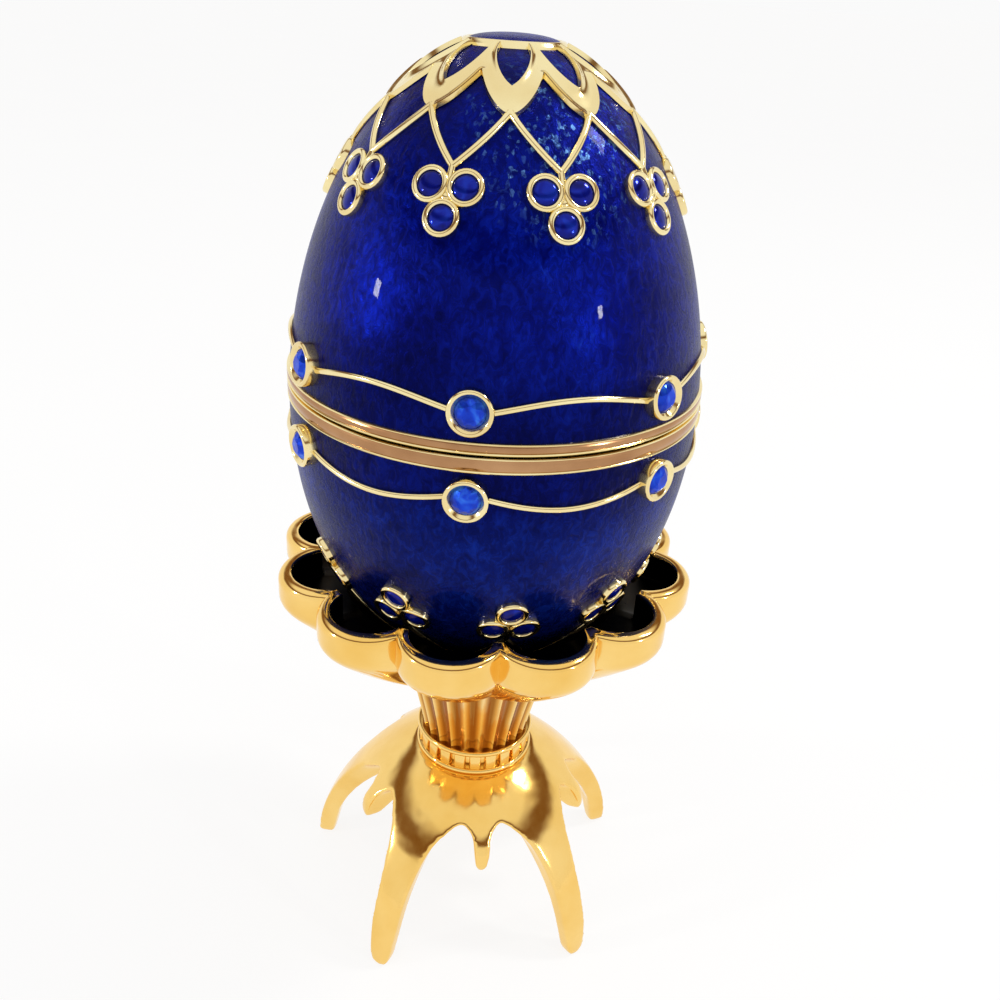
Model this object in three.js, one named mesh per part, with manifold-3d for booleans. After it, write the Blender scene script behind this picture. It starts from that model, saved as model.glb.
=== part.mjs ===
// Egg trinket box: a hinged enamelled egg that stands loose in a scalloped cup on a five-legged foot.
// Millimetres, +Z up. The origin is on the table under the middle of the stand.
// The egg's front faces -Y and its hinge is at the back. Angles run from -Y towards +X, in degrees.

import * as THREE from 'three';
import { mergeVertices } from 'three/addons/utils/BufferGeometryUtils.js';
import Module from 'manifold-3d';

const wasm = await Module();
wasm.setup();

// Clearances
const SET_GAP = 0.3; // between a piece and the neighbour that it is set on or in
const SEAM_GAP = 0.3; // between the closed lid and the base
const BORE_GAP = 0.08; // round the hinge pin
const KNUCKLE_GAP = 0.2; // between two hinge knuckles, and from a knuckle to the other leaf
const BOWL_GAP = 1.2; // between the egg's side and the cup's bowl, for the raised wires

// Egg body: a smooth curve that is narrower above, measured up from its lowest point
const EGG_LENGTH = 82.3;
const EGG_WIDTH = 53.9;
const EGG_TAPER = 3.2;
const SEAM_HEIGHT = 41;
const ENAMEL_THICKNESS = 0.7;
const SHELL_THICKNESS = 1.6;

// Gold bands on both sides of the seam
const BAND_STAND = 0.15; // how far a band stands out from the egg's widest place
const BAND_DEPTH = 3.4;
const LID_BAND_HEIGHT = 1.45;
const BASE_BAND_HEIGHT = 1.95;
const LIP_THICKNESS = 0.9;
const LIP_HEIGHT = 1.15;

// Closing magnets in the front of the bands
const MAGNET_RADIUS = 1;
const LID_MAGNET_HEIGHT = 0.8;
const BASE_MAGNET_HEIGHT = 1.2;
const MAGNET_RECESS = 0.1;

// Hinge at the back
const HINGE_LENGTH = 15;
const LID_KNUCKLE_LENGTH = 4.8;
const KNUCKLE_RADIUS = 1.1;
const PIN_RADIUS = 0.5;
const LEAF_THICKNESS = 0.55;
const LEAF_HEIGHT = 2.9;

// Waist festoons: faceted stones in round bezels, joined by wires
const FESTOON_PLACES = 7; // from the front, so the hinge lies between the two at the back
const LID_FESTOON_HEIGHT = 46;
const BASE_FESTOON_HEIGHT = 35.8;
const LID_FESTOON_BOW = 1.4; // how far a wire bows upwards between two stones
const BASE_FESTOON_BOW = -1.4;
const BEZEL_RADIUS = 2.65;
const BEZEL_HEIGHT = 1.3;
const STONE_RADIUS = 1.75;
const STONE_GAP = 0.25;
const STONE_GIRDLE = 0.9;
const STONE_HEIGHT = 1.6;
const STONE_TABLE_RADIUS = 1.1;
const WIRE_WIDTH = 0.6;
const WIRE_HEIGHT = 0.5;

// Lattice of petals, wires and trefoils
const PETAL_COUNT = 10;
const LID_LATTICE_TURN = 5; // from the front stone to the nearest petal
const BASE_TREFOIL_TURN = 14.3; // from the front stone to the nearest trefoil of the base
const MEDALLION_RADIUS = 5.9;
const CABOCHON_RISE = 0.9;
const PETAL_VALLEY_RADIUS = 10.6;
const PETAL_TIP_RADIUS = 14.6;
const PETAL_BULGE = 0.7; // how far a petal's edge curves out between valley and tip
const WINDOW_INNER_RADIUS = 6.7;
const WINDOW_OUTER_RADIUS = 11.7;
const WINDOW_HALF_WIDTH = 1.6;
const LID_TREFOIL_SHARE = 0.813; // of the egg's length
const LID_APEX_RISE = 3.3; // up the surface from a trefoil's middle to where two wires meet
const BASE_TREFOIL_HEIGHT = 16.5;
const TREFOIL_PITCH = 3.95; // between two cups of one trefoil
const TREFOIL_OVERLAP = 1.1; // how much wider a cup is than the pitch between two
const TREFOIL_CUP_HEIGHT = 0.8;
const TREFOIL_STONE_RISE = 0.5;

// Cup with a scalloped rim, measured up from its underside
const LOBE_COUNT = 12;
const LOBE_RADIUS = 7.1;
const LOBE_TIP_RADIUS = 29.6;
const LOBE_HOLLOW_RADIUS = 5.4;
const RIM_WIDTH = 1.9;
const THROAT_GAP = 1.8; // between the egg's side and the wedges of the rim, for the trefoils
const CUP_HEIGHT = 16.6;
const LOBE_FLOOR_HEIGHT = 12.4;
const CUP_FLOOR = 2.4; // underside to the pad that the egg stands on
const PAD_RADIUS = 5;
const SPIGOT_RADIUS = 4.5;
const SPIGOT_LENGTH = 3.6;
// Flare of the cup from stem to rim, as [share of the height, share of the width]
const CUP_FLARE = [[0, 0], [0.16, 0.34], [0.4, 0.64], [0.6, 0.87], [0.73, 1], [1, 1]];

// Fluted stem
const STEM_HEIGHT = 13.8;
const STEM_FOOT_RADIUS = 8.2;
const STEM_TOP_RADIUS = 11.5;
const STEM_FLARE = 1.15;
const FLUTE_COUNT = 24;
const FLUTE_DEPTH = 0.7;

// Beaded ring under the stem
const RING_RADIUS = 9;
const RING_HEIGHT = 4.2;
const RING_RIM_HEIGHT = 0.9;
const RING_GROOVE = 1;
const BLOCK_COUNT = 22;
const BLOCK_WIDTH = 1.7;

// Foot: a domed casting cut into legs, with a pointed drop between each two
const LEG_COUNT = 5;
const FOOT_TURN = 1.3; // against the cup
const FOOT_RADIUS = 26.1;
const FOOT_HEIGHT = 25.6;
const FOOT_DOME_HEIGHT = 28.1; // where the dome's curve would meet the axis
const FOOT_POWER = 1.8;
const TOE_DEPTH = 2.5;
const CROWN_DEPTH = 5.8;
const TOE_HALF_ANGLE = 3.4;
const KNEE = { halfAngle: 6.2, height: 12 };
const THIGH = { halfAngle: 9.5, height: 16.8 };
const HIP = { halfAngle: 14.5, height: 19.6 };
const ARCH = { angle: 11.5, height: 21.6 };
const DROP_SHOULDER = { angle: 3.2, height: 20 };
const DROP_TIP_HEIGHT = 17.9;

// Screw that ties the stand together
const SCREW_RADIUS = 2;
const SCREW_HEAD_RADIUS = 3.4;
const SCREW_HEAD_HEIGHT = 2.2;
const SCREW_GRIP = 0.8; // how far it reaches above the cup's underside
const WASHER_RADIUS = 4.2;
const WASHER_THICKNESS = 0.8;

// The loose egg stands turned a little in its cup
const STAND_TURN = 11.2;

// Facets
const EGG_SEGMENTS = 28;
const EGG_RINGS = 7;
const STAND_SEGMENTS = 30;
const SMALL_SEGMENTS = 8;
const ROD_SEGMENTS = 12;
const BEZEL_SEGMENTS = 10;
const CURVE_STEPS = 3;
const ARCH_STEPS = 11;
const LOBE_STEPS = 4;
const FLUTE_STEPS = 4;
const STEM_LEVELS = 4;
const WIRE_STEPS = 4;
const CUT_PAST = 1; // how far a cutter runs past the face that it opens

// Derived sizes
const BAND_RADIUS = EGG_WIDTH / 2 + BAND_STAND;
const BAND_INNER_RADIUS = BAND_RADIUS - BAND_DEPTH;
const LID_BAND_BOTTOM = SEAM_HEIGHT + SEAM_GAP / 2;
const LID_BAND_TOP = LID_BAND_BOTTOM + LID_BAND_HEIGHT;
const BASE_BAND_TOP = SEAM_HEIGHT - SEAM_GAP / 2;
const BASE_BAND_BOTTOM = BASE_BAND_TOP - BASE_BAND_HEIGHT;
const ENAMEL_INSET = SET_GAP;
const SHELL_INSET = ENAMEL_INSET + ENAMEL_THICKNESS + SET_GAP;
const LEAF_INNER_RADIUS = BAND_RADIUS + SET_GAP;
const LEAF_OUTER_RADIUS = LEAF_INNER_RADIUS + LEAF_THICKNESS;
const HINGE_RADIUS = BAND_RADIUS + KNUCKLE_GAP / 2 + KNUCKLE_RADIUS;
const STONE_PITCH = 360 / FESTOON_PLACES;
const PETAL_PITCH = 360 / PETAL_COUNT;
const LID_TREFOIL_HEIGHT = EGG_LENGTH * LID_TREFOIL_SHARE;
const PETAL_EDGE_RADIUS = (PETAL_VALLEY_RADIUS + PETAL_TIP_RADIUS) / 2;
const LEG_PITCH = 360 / LEG_COUNT;
const LOBE_PITCH = 360 / LOBE_COUNT;
const STEM_BOTTOM = FOOT_HEIGHT + RING_HEIGHT;
const CUP_BOTTOM = STEM_BOTTOM + STEM_HEIGHT;
const CUP_RIM = CUP_BOTTOM + CUP_HEIGHT;
const EGG_BOTTOM = CUP_BOTTOM + CUP_FLOOR;
const THROAT_RADIUS = eggRadius(CUP_RIM - EGG_BOTTOM) + THROAT_GAP;
const SCREW_HOLE_RADIUS = SCREW_RADIUS + SET_GAP;
const TOE_INNER_RADIUS = FOOT_RADIUS - TOE_DEPTH;
const CROWN_INNER_HEIGHT = FOOT_DOME_HEIGHT - CROWN_DEPTH;

// Finishes
const gold = new THREE.MeshStandardMaterial({ color: 0xd9a441, roughness: 0.15, metalness: 1 });
const enamel = new THREE.MeshStandardMaterial({ color: 0x0a1a8f, roughness: 0.08, metalness: 0 });
const stone = new THREE.MeshStandardMaterial({ color: 0x1433d6, roughness: 0.05, metalness: 0 });
const steel = new THREE.MeshStandardMaterial({ color: 0xb9bcc2, roughness: 0.3, metalness: 1 });

const radians = THREE.MathUtils.degToRad;
const degrees = THREE.MathUtils.radToDeg;

// Solids and pieces

function solidOf(geometry) {
  geometry.deleteAttribute('normal');
  geometry.deleteAttribute('uv');
  const merged = mergeVertices(geometry);
  const corners = merged.index.array;
  const triangles = [];
  for (let i = 0; i < corners.length; i += 3) {
    const [a, b, c] = corners.slice(i, i + 3);
    if (a !== b && b !== c && c !== a) triangles.push(a, b, c);
  }
  const mesh = new wasm.Mesh({
    numProp: 3,
    vertProperties: new Float32Array(merged.attributes.position.array),
    triVerts: new Uint32Array(triangles),
  });
  return new wasm.Manifold(mesh);
}

function joined(geometries) {
  const [first, ...rest] = geometries.map(solidOf);
  return rest.reduce((whole, next) => whole.add(next), first);
}

function piece(name, solid, finish) {
  const mesh = solid.getMesh();
  const geometry = new THREE.BufferGeometry();
  geometry.setAttribute('position', new THREE.BufferAttribute(mesh.vertProperties.slice(), mesh.numProp));
  geometry.setIndex(Array.from(mesh.triVerts));
  const part = new THREE.Mesh(geometry, finish);
  part.name = name;
  return part;
}

// Basic forms

// A profile of [radius, height] points turned about the upright axis, its outer side running upwards.
function turned(profile, segments) {
  const points = profile.map(([radius, height]) => new THREE.Vector2(radius, height));
  return new THREE.LatheGeometry(points, segments).rotateX(Math.PI / 2);
}

function ring(inner, outer, bottom, top, segments) {
  const profile = [[inner, bottom], [outer, bottom], [outer, top], [inner, top], [inner, bottom]];
  return turned(profile, segments);
}

function disc(radius, bottom, top, segments) {
  return turned([[0, bottom], [radius, bottom], [radius, top], [0, top]], segments);
}

function prism(shape, bottom, top) {
  const options = { depth: top - bottom, bevelEnabled: false, curveSegments: CURVE_STEPS };
  return new THREE.ExtrudeGeometry(shape, options).translate(0, 0, bottom);
}

// Moves every vertex of a geometry to the place that the rule gives for it.
function bent(geometry, rule) {
  const position = geometry.attributes.position;
  const vertex = new THREE.Vector3();
  for (let i = 0; i < position.count; i += 1) {
    vertex.fromBufferAttribute(position, i);
    position.setXYZ(i, ...rule(vertex).toArray());
  }
  return geometry;
}

// Closed skin over a row of outlines with equally many points, capped at both ends.
function lofted(outlines) {
  const count = outlines[0].length;
  const vertices = outlines.flat();
  const indices = [];
  for (let row = 0; row + 1 < outlines.length; row += 1) {
    for (let i = 0; i < count; i += 1) {
      const a = row * count + i;
      const b = row * count + ((i + 1) % count);
      indices.push(a, b, b + count, a, b + count, a + count);
    }
  }
  const last = outlines.length - 1;
  [0, last].forEach((row) => {
    const middle = vertices.length;
    const sum = outlines[row].reduce((total, point) => total.add(point), new THREE.Vector3());
    vertices.push(sum.divideScalar(count));
    for (let i = 0; i < count; i += 1) {
      const a = row * count + i;
      const b = row * count + ((i + 1) % count);
      const corners = row === last ? [middle, a, b] : [middle, b, a];
      indices.push(...corners);
    }
  });
  const geometry = new THREE.BufferGeometry().setFromPoints(vertices);
  geometry.setIndex(indices);
  return geometry;
}

function polar(angle, radius) {
  return new THREE.Vector2(radius * Math.sin(radians(angle)), -radius * Math.cos(radians(angle)));
}

function polarPoint(angle, radius, height) {
  const place = polar(angle, radius);
  return new THREE.Vector3(place.x, place.y, height);
}

// Egg form. An inset gives the similar form that lies so many millimetres inside the surface.

function eggRadius(height, inset = 0) {
  const length = EGG_LENGTH - 2 * inset;
  const x = height - EGG_LENGTH / 2;
  const across = Math.max(length ** 2 - 4 * x ** 2, 0);
  const along = length ** 2 + 8 * EGG_TAPER * x + 4 * EGG_TAPER ** 2;
  return (EGG_WIDTH / 2 - inset) * Math.sqrt(across / along);
}

// Height of the upper surface over a place so far from the axis.
function crownHeight(radius) {
  const k = ((2 * radius) / EGG_WIDTH) ** 2;
  const rest = k * (EGG_LENGTH ** 2 + 4 * EGG_TAPER ** 2) - EGG_LENGTH ** 2;
  return EGG_LENGTH / 2 - EGG_TAPER * k + Math.sqrt((EGG_TAPER * k) ** 2 - rest / 4);
}

// Points of the egg's profile between two heights, closer together towards the poles.
function eggProfile(inset, from, to) {
  const reach = EGG_LENGTH / 2 - inset;
  const turnAt = (height) => {
    const share = (height - EGG_LENGTH / 2) / reach;
    return Math.asin(THREE.MathUtils.clamp(share, -1, 1));
  };
  const points = [];
  for (let i = 0; i <= EGG_RINGS; i += 1) {
    const turn = THREE.MathUtils.lerp(turnAt(from), turnAt(to), i / EGG_RINGS);
    const height = EGG_LENGTH / 2 + reach * Math.sin(turn);
    points.push([eggRadius(height, inset), height]);
  }
  return points;
}

// A layer of the egg between two insets: a cup below the seam, a dome above it.
function eggLayer(outerInset, thickness, from, to) {
  const innerInset = outerInset + thickness;
  const outer = eggProfile(outerInset, from, to);
  const inner = eggProfile(innerInset, from, to).reverse();
  outer[0][1] = Math.max(from, outerInset);
  inner[0][1] = Math.min(to, EGG_LENGTH - innerInset);
  const profile = [...outer, ...inner];
  if (from > innerInset) profile.push(profile[0]);
  return solidOf(turned(profile, EGG_SEGMENTS));
}

// Frame on the egg's surface: sideways, up the side, and straight out.
function surfaceFrame(angle, height, lift = 0) {
  const step = 0.01;
  const slope = (eggRadius(height + step) - eggRadius(height - step)) / (2 * step);
  const side = polarPoint(angle + 90, 1, 0);
  const normal = polarPoint(angle, 1, -slope).normalize();
  const up = normal.clone().cross(side);
  const origin = polarPoint(angle, eggRadius(height), height).addScaledVector(normal, lift);
  const matrix = new THREE.Matrix4().makeBasis(side, up, normal).setPosition(origin);
  return { normal, up, origin, matrix };
}

function onEgg(geometry, angle, height) {
  return geometry.applyMatrix4(surfaceFrame(angle, height).matrix);
}

// A flat wire on the egg's surface from one [angle, height] to another, bowed upwards in the middle.
function wire(from, to, bow = 0) {
  const frames = [];
  for (let i = 0; i <= WIRE_STEPS; i += 1) {
    const share = i / WIRE_STEPS;
    const height = THREE.MathUtils.lerp(from[1], to[1], share) + bow * Math.sin(Math.PI * share);
    frames.push(surfaceFrame(THREE.MathUtils.lerp(from[0], to[0], share), height));
  }
  const outlines = frames.map(({ normal, origin }, i) => {
    const before = frames[Math.max(i - 1, 0)].origin;
    const after = frames[Math.min(i + 1, WIRE_STEPS)].origin;
    const along = after.clone().sub(before);
    const across = along.cross(normal).setLength(WIRE_WIDTH / 2);
    const out = normal.clone().multiplyScalar(WIRE_HEIGHT);
    const left = origin.clone().sub(across);
    const right = origin.clone().add(across);
    return [right, left, left.clone().add(out), right.clone().add(out)];
  });
  return lofted(outlines);
}

// Stand

function domeRadius(radius, height, level) {
  return radius * (1 - (level / height) ** FOOT_POWER) ** (1 / FOOT_POWER);
}

function domeProfile(radius, height, top) {
  const points = [];
  for (let i = 0; i <= EGG_RINGS; i += 1) {
    const level = top * Math.sin((Math.PI / 2) * (i / EGG_RINGS));
    points.push([domeRadius(radius, height, level), level]);
  }
  return points;
}

// The flat spot under the foot's crown is a little wider than the washer.
function washerTop() {
  return domeRadius(CROWN_INNER_HEIGHT, TOE_INNER_RADIUS, WASHER_RADIUS + SET_GAP);
}

// One opening between two legs, as [angle, height], with the pointed drop in its middle.
function archShape() {
  const half = LEG_PITCH / 2;
  const side = [
    [half - TOE_HALF_ANGLE, -CUT_PAST],
    [half - KNEE.halfAngle, KNEE.height],
    [half - THIGH.halfAngle, THIGH.height],
    [half - HIP.halfAngle, HIP.height],
    [ARCH.angle, ARCH.height],
    [DROP_SHOULDER.angle, DROP_SHOULDER.height],
    [0, DROP_TIP_HEIGHT],
  ];
  const curve = new THREE.SplineCurve(side.map(([angle, height]) => new THREE.Vector2(angle, height)));
  const right = curve.getSpacedPoints(ARCH_STEPS);
  const left = right.slice(0, -1).map(({ x, y }) => new THREE.Vector2(-x, y)).reverse();
  return new THREE.Shape([...right, ...left]);
}

function makeFoot() {
  const seat = washerTop();
  const outer = domeProfile(FOOT_RADIUS, FOOT_DOME_HEIGHT, FOOT_HEIGHT);
  const inner = domeProfile(TOE_INNER_RADIUS, CROWN_INNER_HEIGHT, seat).reverse();
  const bore = [[SCREW_HOLE_RADIUS, FOOT_HEIGHT], [SCREW_HOLE_RADIUS, seat]];
  let foot = solidOf(turned([...outer, ...bore, ...inner, outer[0]], STAND_SEGMENTS));
  const cutFrom = RING_RADIUS + CUT_PAST;
  const cutTo = (FOOT_RADIUS + CUT_PAST) / Math.cos(radians(LEG_PITCH / 2));
  for (let leg = 0; leg < LEG_COUNT; leg += 1) {
    const opening = bent(prism(archShape(), 0, 1), ({ x, y, z }) =>
      polarPoint(x + FOOT_TURN + leg * LEG_PITCH, THREE.MathUtils.lerp(cutFrom, cutTo, z), y),
    );
    foot = foot.subtract(solidOf(opening));
  }
  return piece('foot', foot, gold);
}

function makeRing() {
  const bottom = FOOT_HEIGHT;
  const grooveRadius = RING_RADIUS - RING_GROOVE;
  const profile = [
    [SCREW_HOLE_RADIUS, bottom],
    [RING_RADIUS, bottom],
    [RING_RADIUS, bottom + RING_RIM_HEIGHT],
    [grooveRadius, bottom + RING_RIM_HEIGHT],
    [grooveRadius, STEM_BOTTOM - RING_RIM_HEIGHT],
    [RING_RADIUS, STEM_BOTTOM - RING_RIM_HEIGHT],
    [RING_RADIUS, STEM_BOTTOM],
    [SCREW_HOLE_RADIUS, STEM_BOTTOM],
    [SCREW_HOLE_RADIUS, bottom],
  ];
  let beaded = solidOf(turned(profile, STAND_SEGMENTS));
  const blockHeight = RING_HEIGHT - RING_RIM_HEIGHT;
  for (let i = 0; i < BLOCK_COUNT; i += 1) {
    const block = new THREE.BoxGeometry(BLOCK_WIDTH, RING_GROOVE, blockHeight);
    block.translate(0, -grooveRadius, bottom + RING_HEIGHT / 2);
    beaded = beaded.add(solidOf(block.rotateZ((2 * Math.PI * i) / BLOCK_COUNT)));
  }
  return piece('beaded_ring', beaded, gold);
}

function makeStem() {
  const count = FLUTE_COUNT * FLUTE_STEPS;
  const outlines = [];
  for (let level = 0; level <= STEM_LEVELS; level += 1) {
    const share = level / STEM_LEVELS;
    const crest = THREE.MathUtils.lerp(STEM_FOOT_RADIUS, STEM_TOP_RADIUS, share ** STEM_FLARE);
    const outline = [];
    for (let i = 0; i < count; i += 1) {
      const hollow = Math.sin((Math.PI * (i % FLUTE_STEPS)) / FLUTE_STEPS);
      const radius = crest - FLUTE_DEPTH * hollow;
      outline.push(polarPoint((360 * i) / count, radius, STEM_BOTTOM + STEM_HEIGHT * share));
    }
    outlines.push(outline);
  }
  const bore = disc(SCREW_HOLE_RADIUS, STEM_BOTTOM - CUT_PAST, CUP_BOTTOM, ROD_SEGMENTS);
  const socketBottom = CUP_BOTTOM - SPIGOT_LENGTH - SET_GAP;
  const socket = disc(SPIGOT_RADIUS + SET_GAP, socketBottom, CUP_BOTTOM + CUT_PAST, ROD_SEGMENTS * 2);
  const stem = solidOf(lofted(outlines)).subtract(solidOf(bore)).subtract(solidOf(socket));
  return piece('fluted_stem', stem, gold);
}

// Radius of the outer scalloped outline at an angle; a cusp lies at angle 0.
function scallopRadius(angle) {
  const reach = LOBE_TIP_RADIUS - LOBE_RADIUS;
  const turn = radians((angle % LOBE_PITCH) - LOBE_PITCH / 2);
  return reach * Math.cos(turn) + Math.sqrt(LOBE_RADIUS ** 2 - (reach * Math.sin(turn)) ** 2);
}

function makeCup() {
  const count = LOBE_COUNT * LOBE_STEPS;
  const outlines = CUP_FLARE.map(([rise, spread]) => {
    const outline = [];
    for (let i = 0; i < count; i += 1) {
      const angle = (360 * i) / count;
      const radius = THREE.MathUtils.lerp(STEM_TOP_RADIUS, scallopRadius(angle), spread);
      outline.push(polarPoint(angle, radius, CUP_BOTTOM + CUP_HEIGHT * rise));
    }
    return outline;
  });
  const lobeFloor = CUP_BOTTOM + LOBE_FLOOR_HEIGHT;
  const open = CUP_RIM + CUT_PAST;
  const hollowReach = LOBE_TIP_RADIUS - RIM_WIDTH - LOBE_HOLLOW_RADIUS;
  let cup = solidOf(lofted(outlines)).subtract(solidOf(disc(THROAT_RADIUS, lobeFloor, open, STAND_SEGMENTS)));
  for (let lobe = 0; lobe < LOBE_COUNT; lobe += 1) {
    const place = polar((lobe + 0.5) * LOBE_PITCH, hollowReach);
    const hollow = disc(LOBE_HOLLOW_RADIUS, lobeFloor, open, 2 * SMALL_SEGMENTS);
    cup = cup.subtract(solidOf(hollow.translate(place.x, place.y, 0)));
  }
  const bowlTop = lobeFloor + CUT_PAST;
  const bowl = eggProfile(-BOWL_GAP, -BOWL_GAP, bowlTop - EGG_BOTTOM);
  const raised = bowl.map(([radius, height]) => [radius, height + EGG_BOTTOM]);
  const pad = disc(PAD_RADIUS, CUP_BOTTOM, EGG_BOTTOM, STAND_SEGMENTS);
  const spigotBottom = CUP_BOTTOM - SPIGOT_LENGTH;
  const spigot = disc(SPIGOT_RADIUS, spigotBottom, CUP_BOTTOM + SCREW_GRIP, ROD_SEGMENTS * 2);
  const holeTop = CUP_BOTTOM + SCREW_GRIP + SET_GAP;
  const hole = disc(SCREW_HOLE_RADIUS, spigotBottom - CUT_PAST, holeTop, ROD_SEGMENTS);
  cup = cup
    .subtract(solidOf(turned([...raised, [0, bowlTop]], STAND_SEGMENTS)))
    .add(solidOf(pad))
    .add(solidOf(spigot))
    .subtract(solidOf(hole));
  return piece('scalloped_cup', cup, gold);
}

function makeScrew() {
  const headTop = washerTop() - WASHER_THICKNESS;
  const headBottom = headTop - SCREW_HEAD_HEIGHT;
  const head = disc(SCREW_HEAD_RADIUS, headBottom, headTop, ROD_SEGMENTS);
  const shank = disc(SCREW_RADIUS, headTop - SCREW_HEAD_HEIGHT / 2, CUP_BOTTOM + SCREW_GRIP, ROD_SEGMENTS);
  return piece('tie_screw', joined([head, shank]), steel);
}

function makeWasher() {
  const top = washerTop();
  const washer = ring(SCREW_HOLE_RADIUS, WASHER_RADIUS, top - WASHER_THICKNESS, top, ROD_SEGMENTS * 2);
  return piece('screw_washer', solidOf(washer), steel);
}

// Egg halves

function magnetDisc(radius, bottom, top) {
  const place = polar(0, BAND_INNER_RADIUS + BAND_DEPTH / 2);
  return solidOf(disc(radius, bottom, top, ROD_SEGMENTS).translate(place.x, place.y, 0));
}

function makeLidBody() {
  const magnetBottom = LID_BAND_BOTTOM + MAGNET_RECESS;
  const magnetTop = magnetBottom + LID_MAGNET_HEIGHT;
  const pocket = magnetDisc(MAGNET_RADIUS + SET_GAP, LID_BAND_BOTTOM - CUT_PAST, magnetTop);
  const band = ring(BAND_INNER_RADIUS, BAND_RADIUS, LID_BAND_BOTTOM, LID_BAND_TOP, EGG_SEGMENTS);
  const skin = eggLayer(ENAMEL_INSET, ENAMEL_THICKNESS, LID_BAND_TOP, EGG_LENGTH - SHELL_INSET);
  return [
    piece('lid_shell', eggLayer(SHELL_INSET, SHELL_THICKNESS, LID_BAND_TOP, EGG_LENGTH), gold),
    piece('lid_enamel', skin, enamel),
    piece('lid_band', solidOf(band).subtract(pocket), gold),
    piece('lid_magnet', magnetDisc(MAGNET_RADIUS, magnetBottom, magnetTop), steel),
  ];
}

function makeBaseBody() {
  const lipOuter = BAND_INNER_RADIUS - SET_GAP;
  const lipInner = lipOuter - LIP_THICKNESS;
  const lipTop = BASE_BAND_TOP + LIP_HEIGHT;
  const profile = [
    [lipInner, BASE_BAND_BOTTOM],
    [BAND_RADIUS, BASE_BAND_BOTTOM],
    [BAND_RADIUS, BASE_BAND_TOP],
    [lipOuter, BASE_BAND_TOP],
    [lipOuter, lipTop],
    [lipInner, lipTop],
    [lipInner, BASE_BAND_BOTTOM],
  ];
  const magnetTop = BASE_BAND_TOP - MAGNET_RECESS;
  const magnetBottom = magnetTop - BASE_MAGNET_HEIGHT;
  const pocket = magnetDisc(MAGNET_RADIUS + SET_GAP, magnetBottom, BASE_BAND_TOP + CUT_PAST);
  const band = solidOf(turned(profile, EGG_SEGMENTS)).subtract(pocket);
  return [
    piece('base_shell', eggLayer(SHELL_INSET, SHELL_THICKNESS, 0, BASE_BAND_BOTTOM), gold),
    piece('base_enamel', eggLayer(ENAMEL_INSET, ENAMEL_THICKNESS, 0, BASE_BAND_BOTTOM), enamel),
    piece('base_band', band, gold),
    piece('base_magnet', magnetDisc(MAGNET_RADIUS, magnetBottom, magnetTop), steel),
  ];
}

// Cushioned blue disc in the medallion on top, set in the open crown of the enamel.
function makeCabochon() {
  const bottom = EGG_LENGTH - SHELL_INSET + SET_GAP / 2;
  const radius = MEDALLION_RADIUS - ENAMEL_INSET - SET_GAP;
  const edge = bottom + SET_GAP;
  const profile = [[0, bottom], [radius, bottom]];
  for (let i = 0; i <= CURVE_STEPS; i += 1) {
    const turn = (Math.PI / 2) * (i / CURVE_STEPS);
    profile.push([radius * Math.cos(turn), edge + CABOCHON_RISE * Math.sin(turn)]);
  }
  return piece('top_cabochon', solidOf(turned(profile, EGG_SEGMENTS / 2)), enamel);
}

// Hinge

function hingeRod(radius, from, to) {
  const rod = disc(radius, from, to, ROD_SEGMENTS).rotateY(Math.PI / 2);
  return solidOf(rod.translate(0, HINGE_RADIUS, SEAM_HEIGHT));
}

// A leaf is a plate that is flat outside and hollowed inside to lie round the band.
function leafPlate(bottom) {
  const depth = LEAF_OUTER_RADIUS - HINGE_LENGTH;
  const box = new THREE.BoxGeometry(HINGE_LENGTH, depth, LEAF_HEIGHT);
  box.translate(0, LEAF_OUTER_RADIUS - depth / 2, bottom + LEAF_HEIGHT / 2);
  const core = disc(LEAF_INNER_RADIUS, bottom - CUT_PAST, bottom + LEAF_HEIGHT + CUT_PAST, EGG_SEGMENTS * 2);
  return solidOf(box).subtract(solidOf(core));
}

function makeHinge() {
  const end = HINGE_LENGTH / 2;
  const middle = LID_KNUCKLE_LENGTH / 2;
  const start = middle + KNUCKLE_GAP;
  const room = KNUCKLE_RADIUS + KNUCKLE_GAP;
  const bore = hingeRod(PIN_RADIUS + BORE_GAP, -end - CUT_PAST, end + CUT_PAST);
  const lidLeaf = leafPlate(LID_BAND_BOTTOM)
    .subtract(hingeRod(room, -end - CUT_PAST, -middle))
    .subtract(hingeRod(room, middle, end + CUT_PAST))
    .add(hingeRod(KNUCKLE_RADIUS, -middle, middle))
    .subtract(bore);
  const baseLeaf = leafPlate(BASE_BAND_TOP - LEAF_HEIGHT)
    .subtract(hingeRod(room, -start, start))
    .add(hingeRod(KNUCKLE_RADIUS, -end, -start))
    .add(hingeRod(KNUCKLE_RADIUS, start, end))
    .subtract(bore);
  return {
    lid: [piece('lid_hinge_leaf', lidLeaf, gold)],
    base: [piece('base_hinge_leaf', baseLeaf, gold), piece('hinge_pin', hingeRod(PIN_RADIUS, -end, end), steel)],
  };
}

// Festoons

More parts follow.
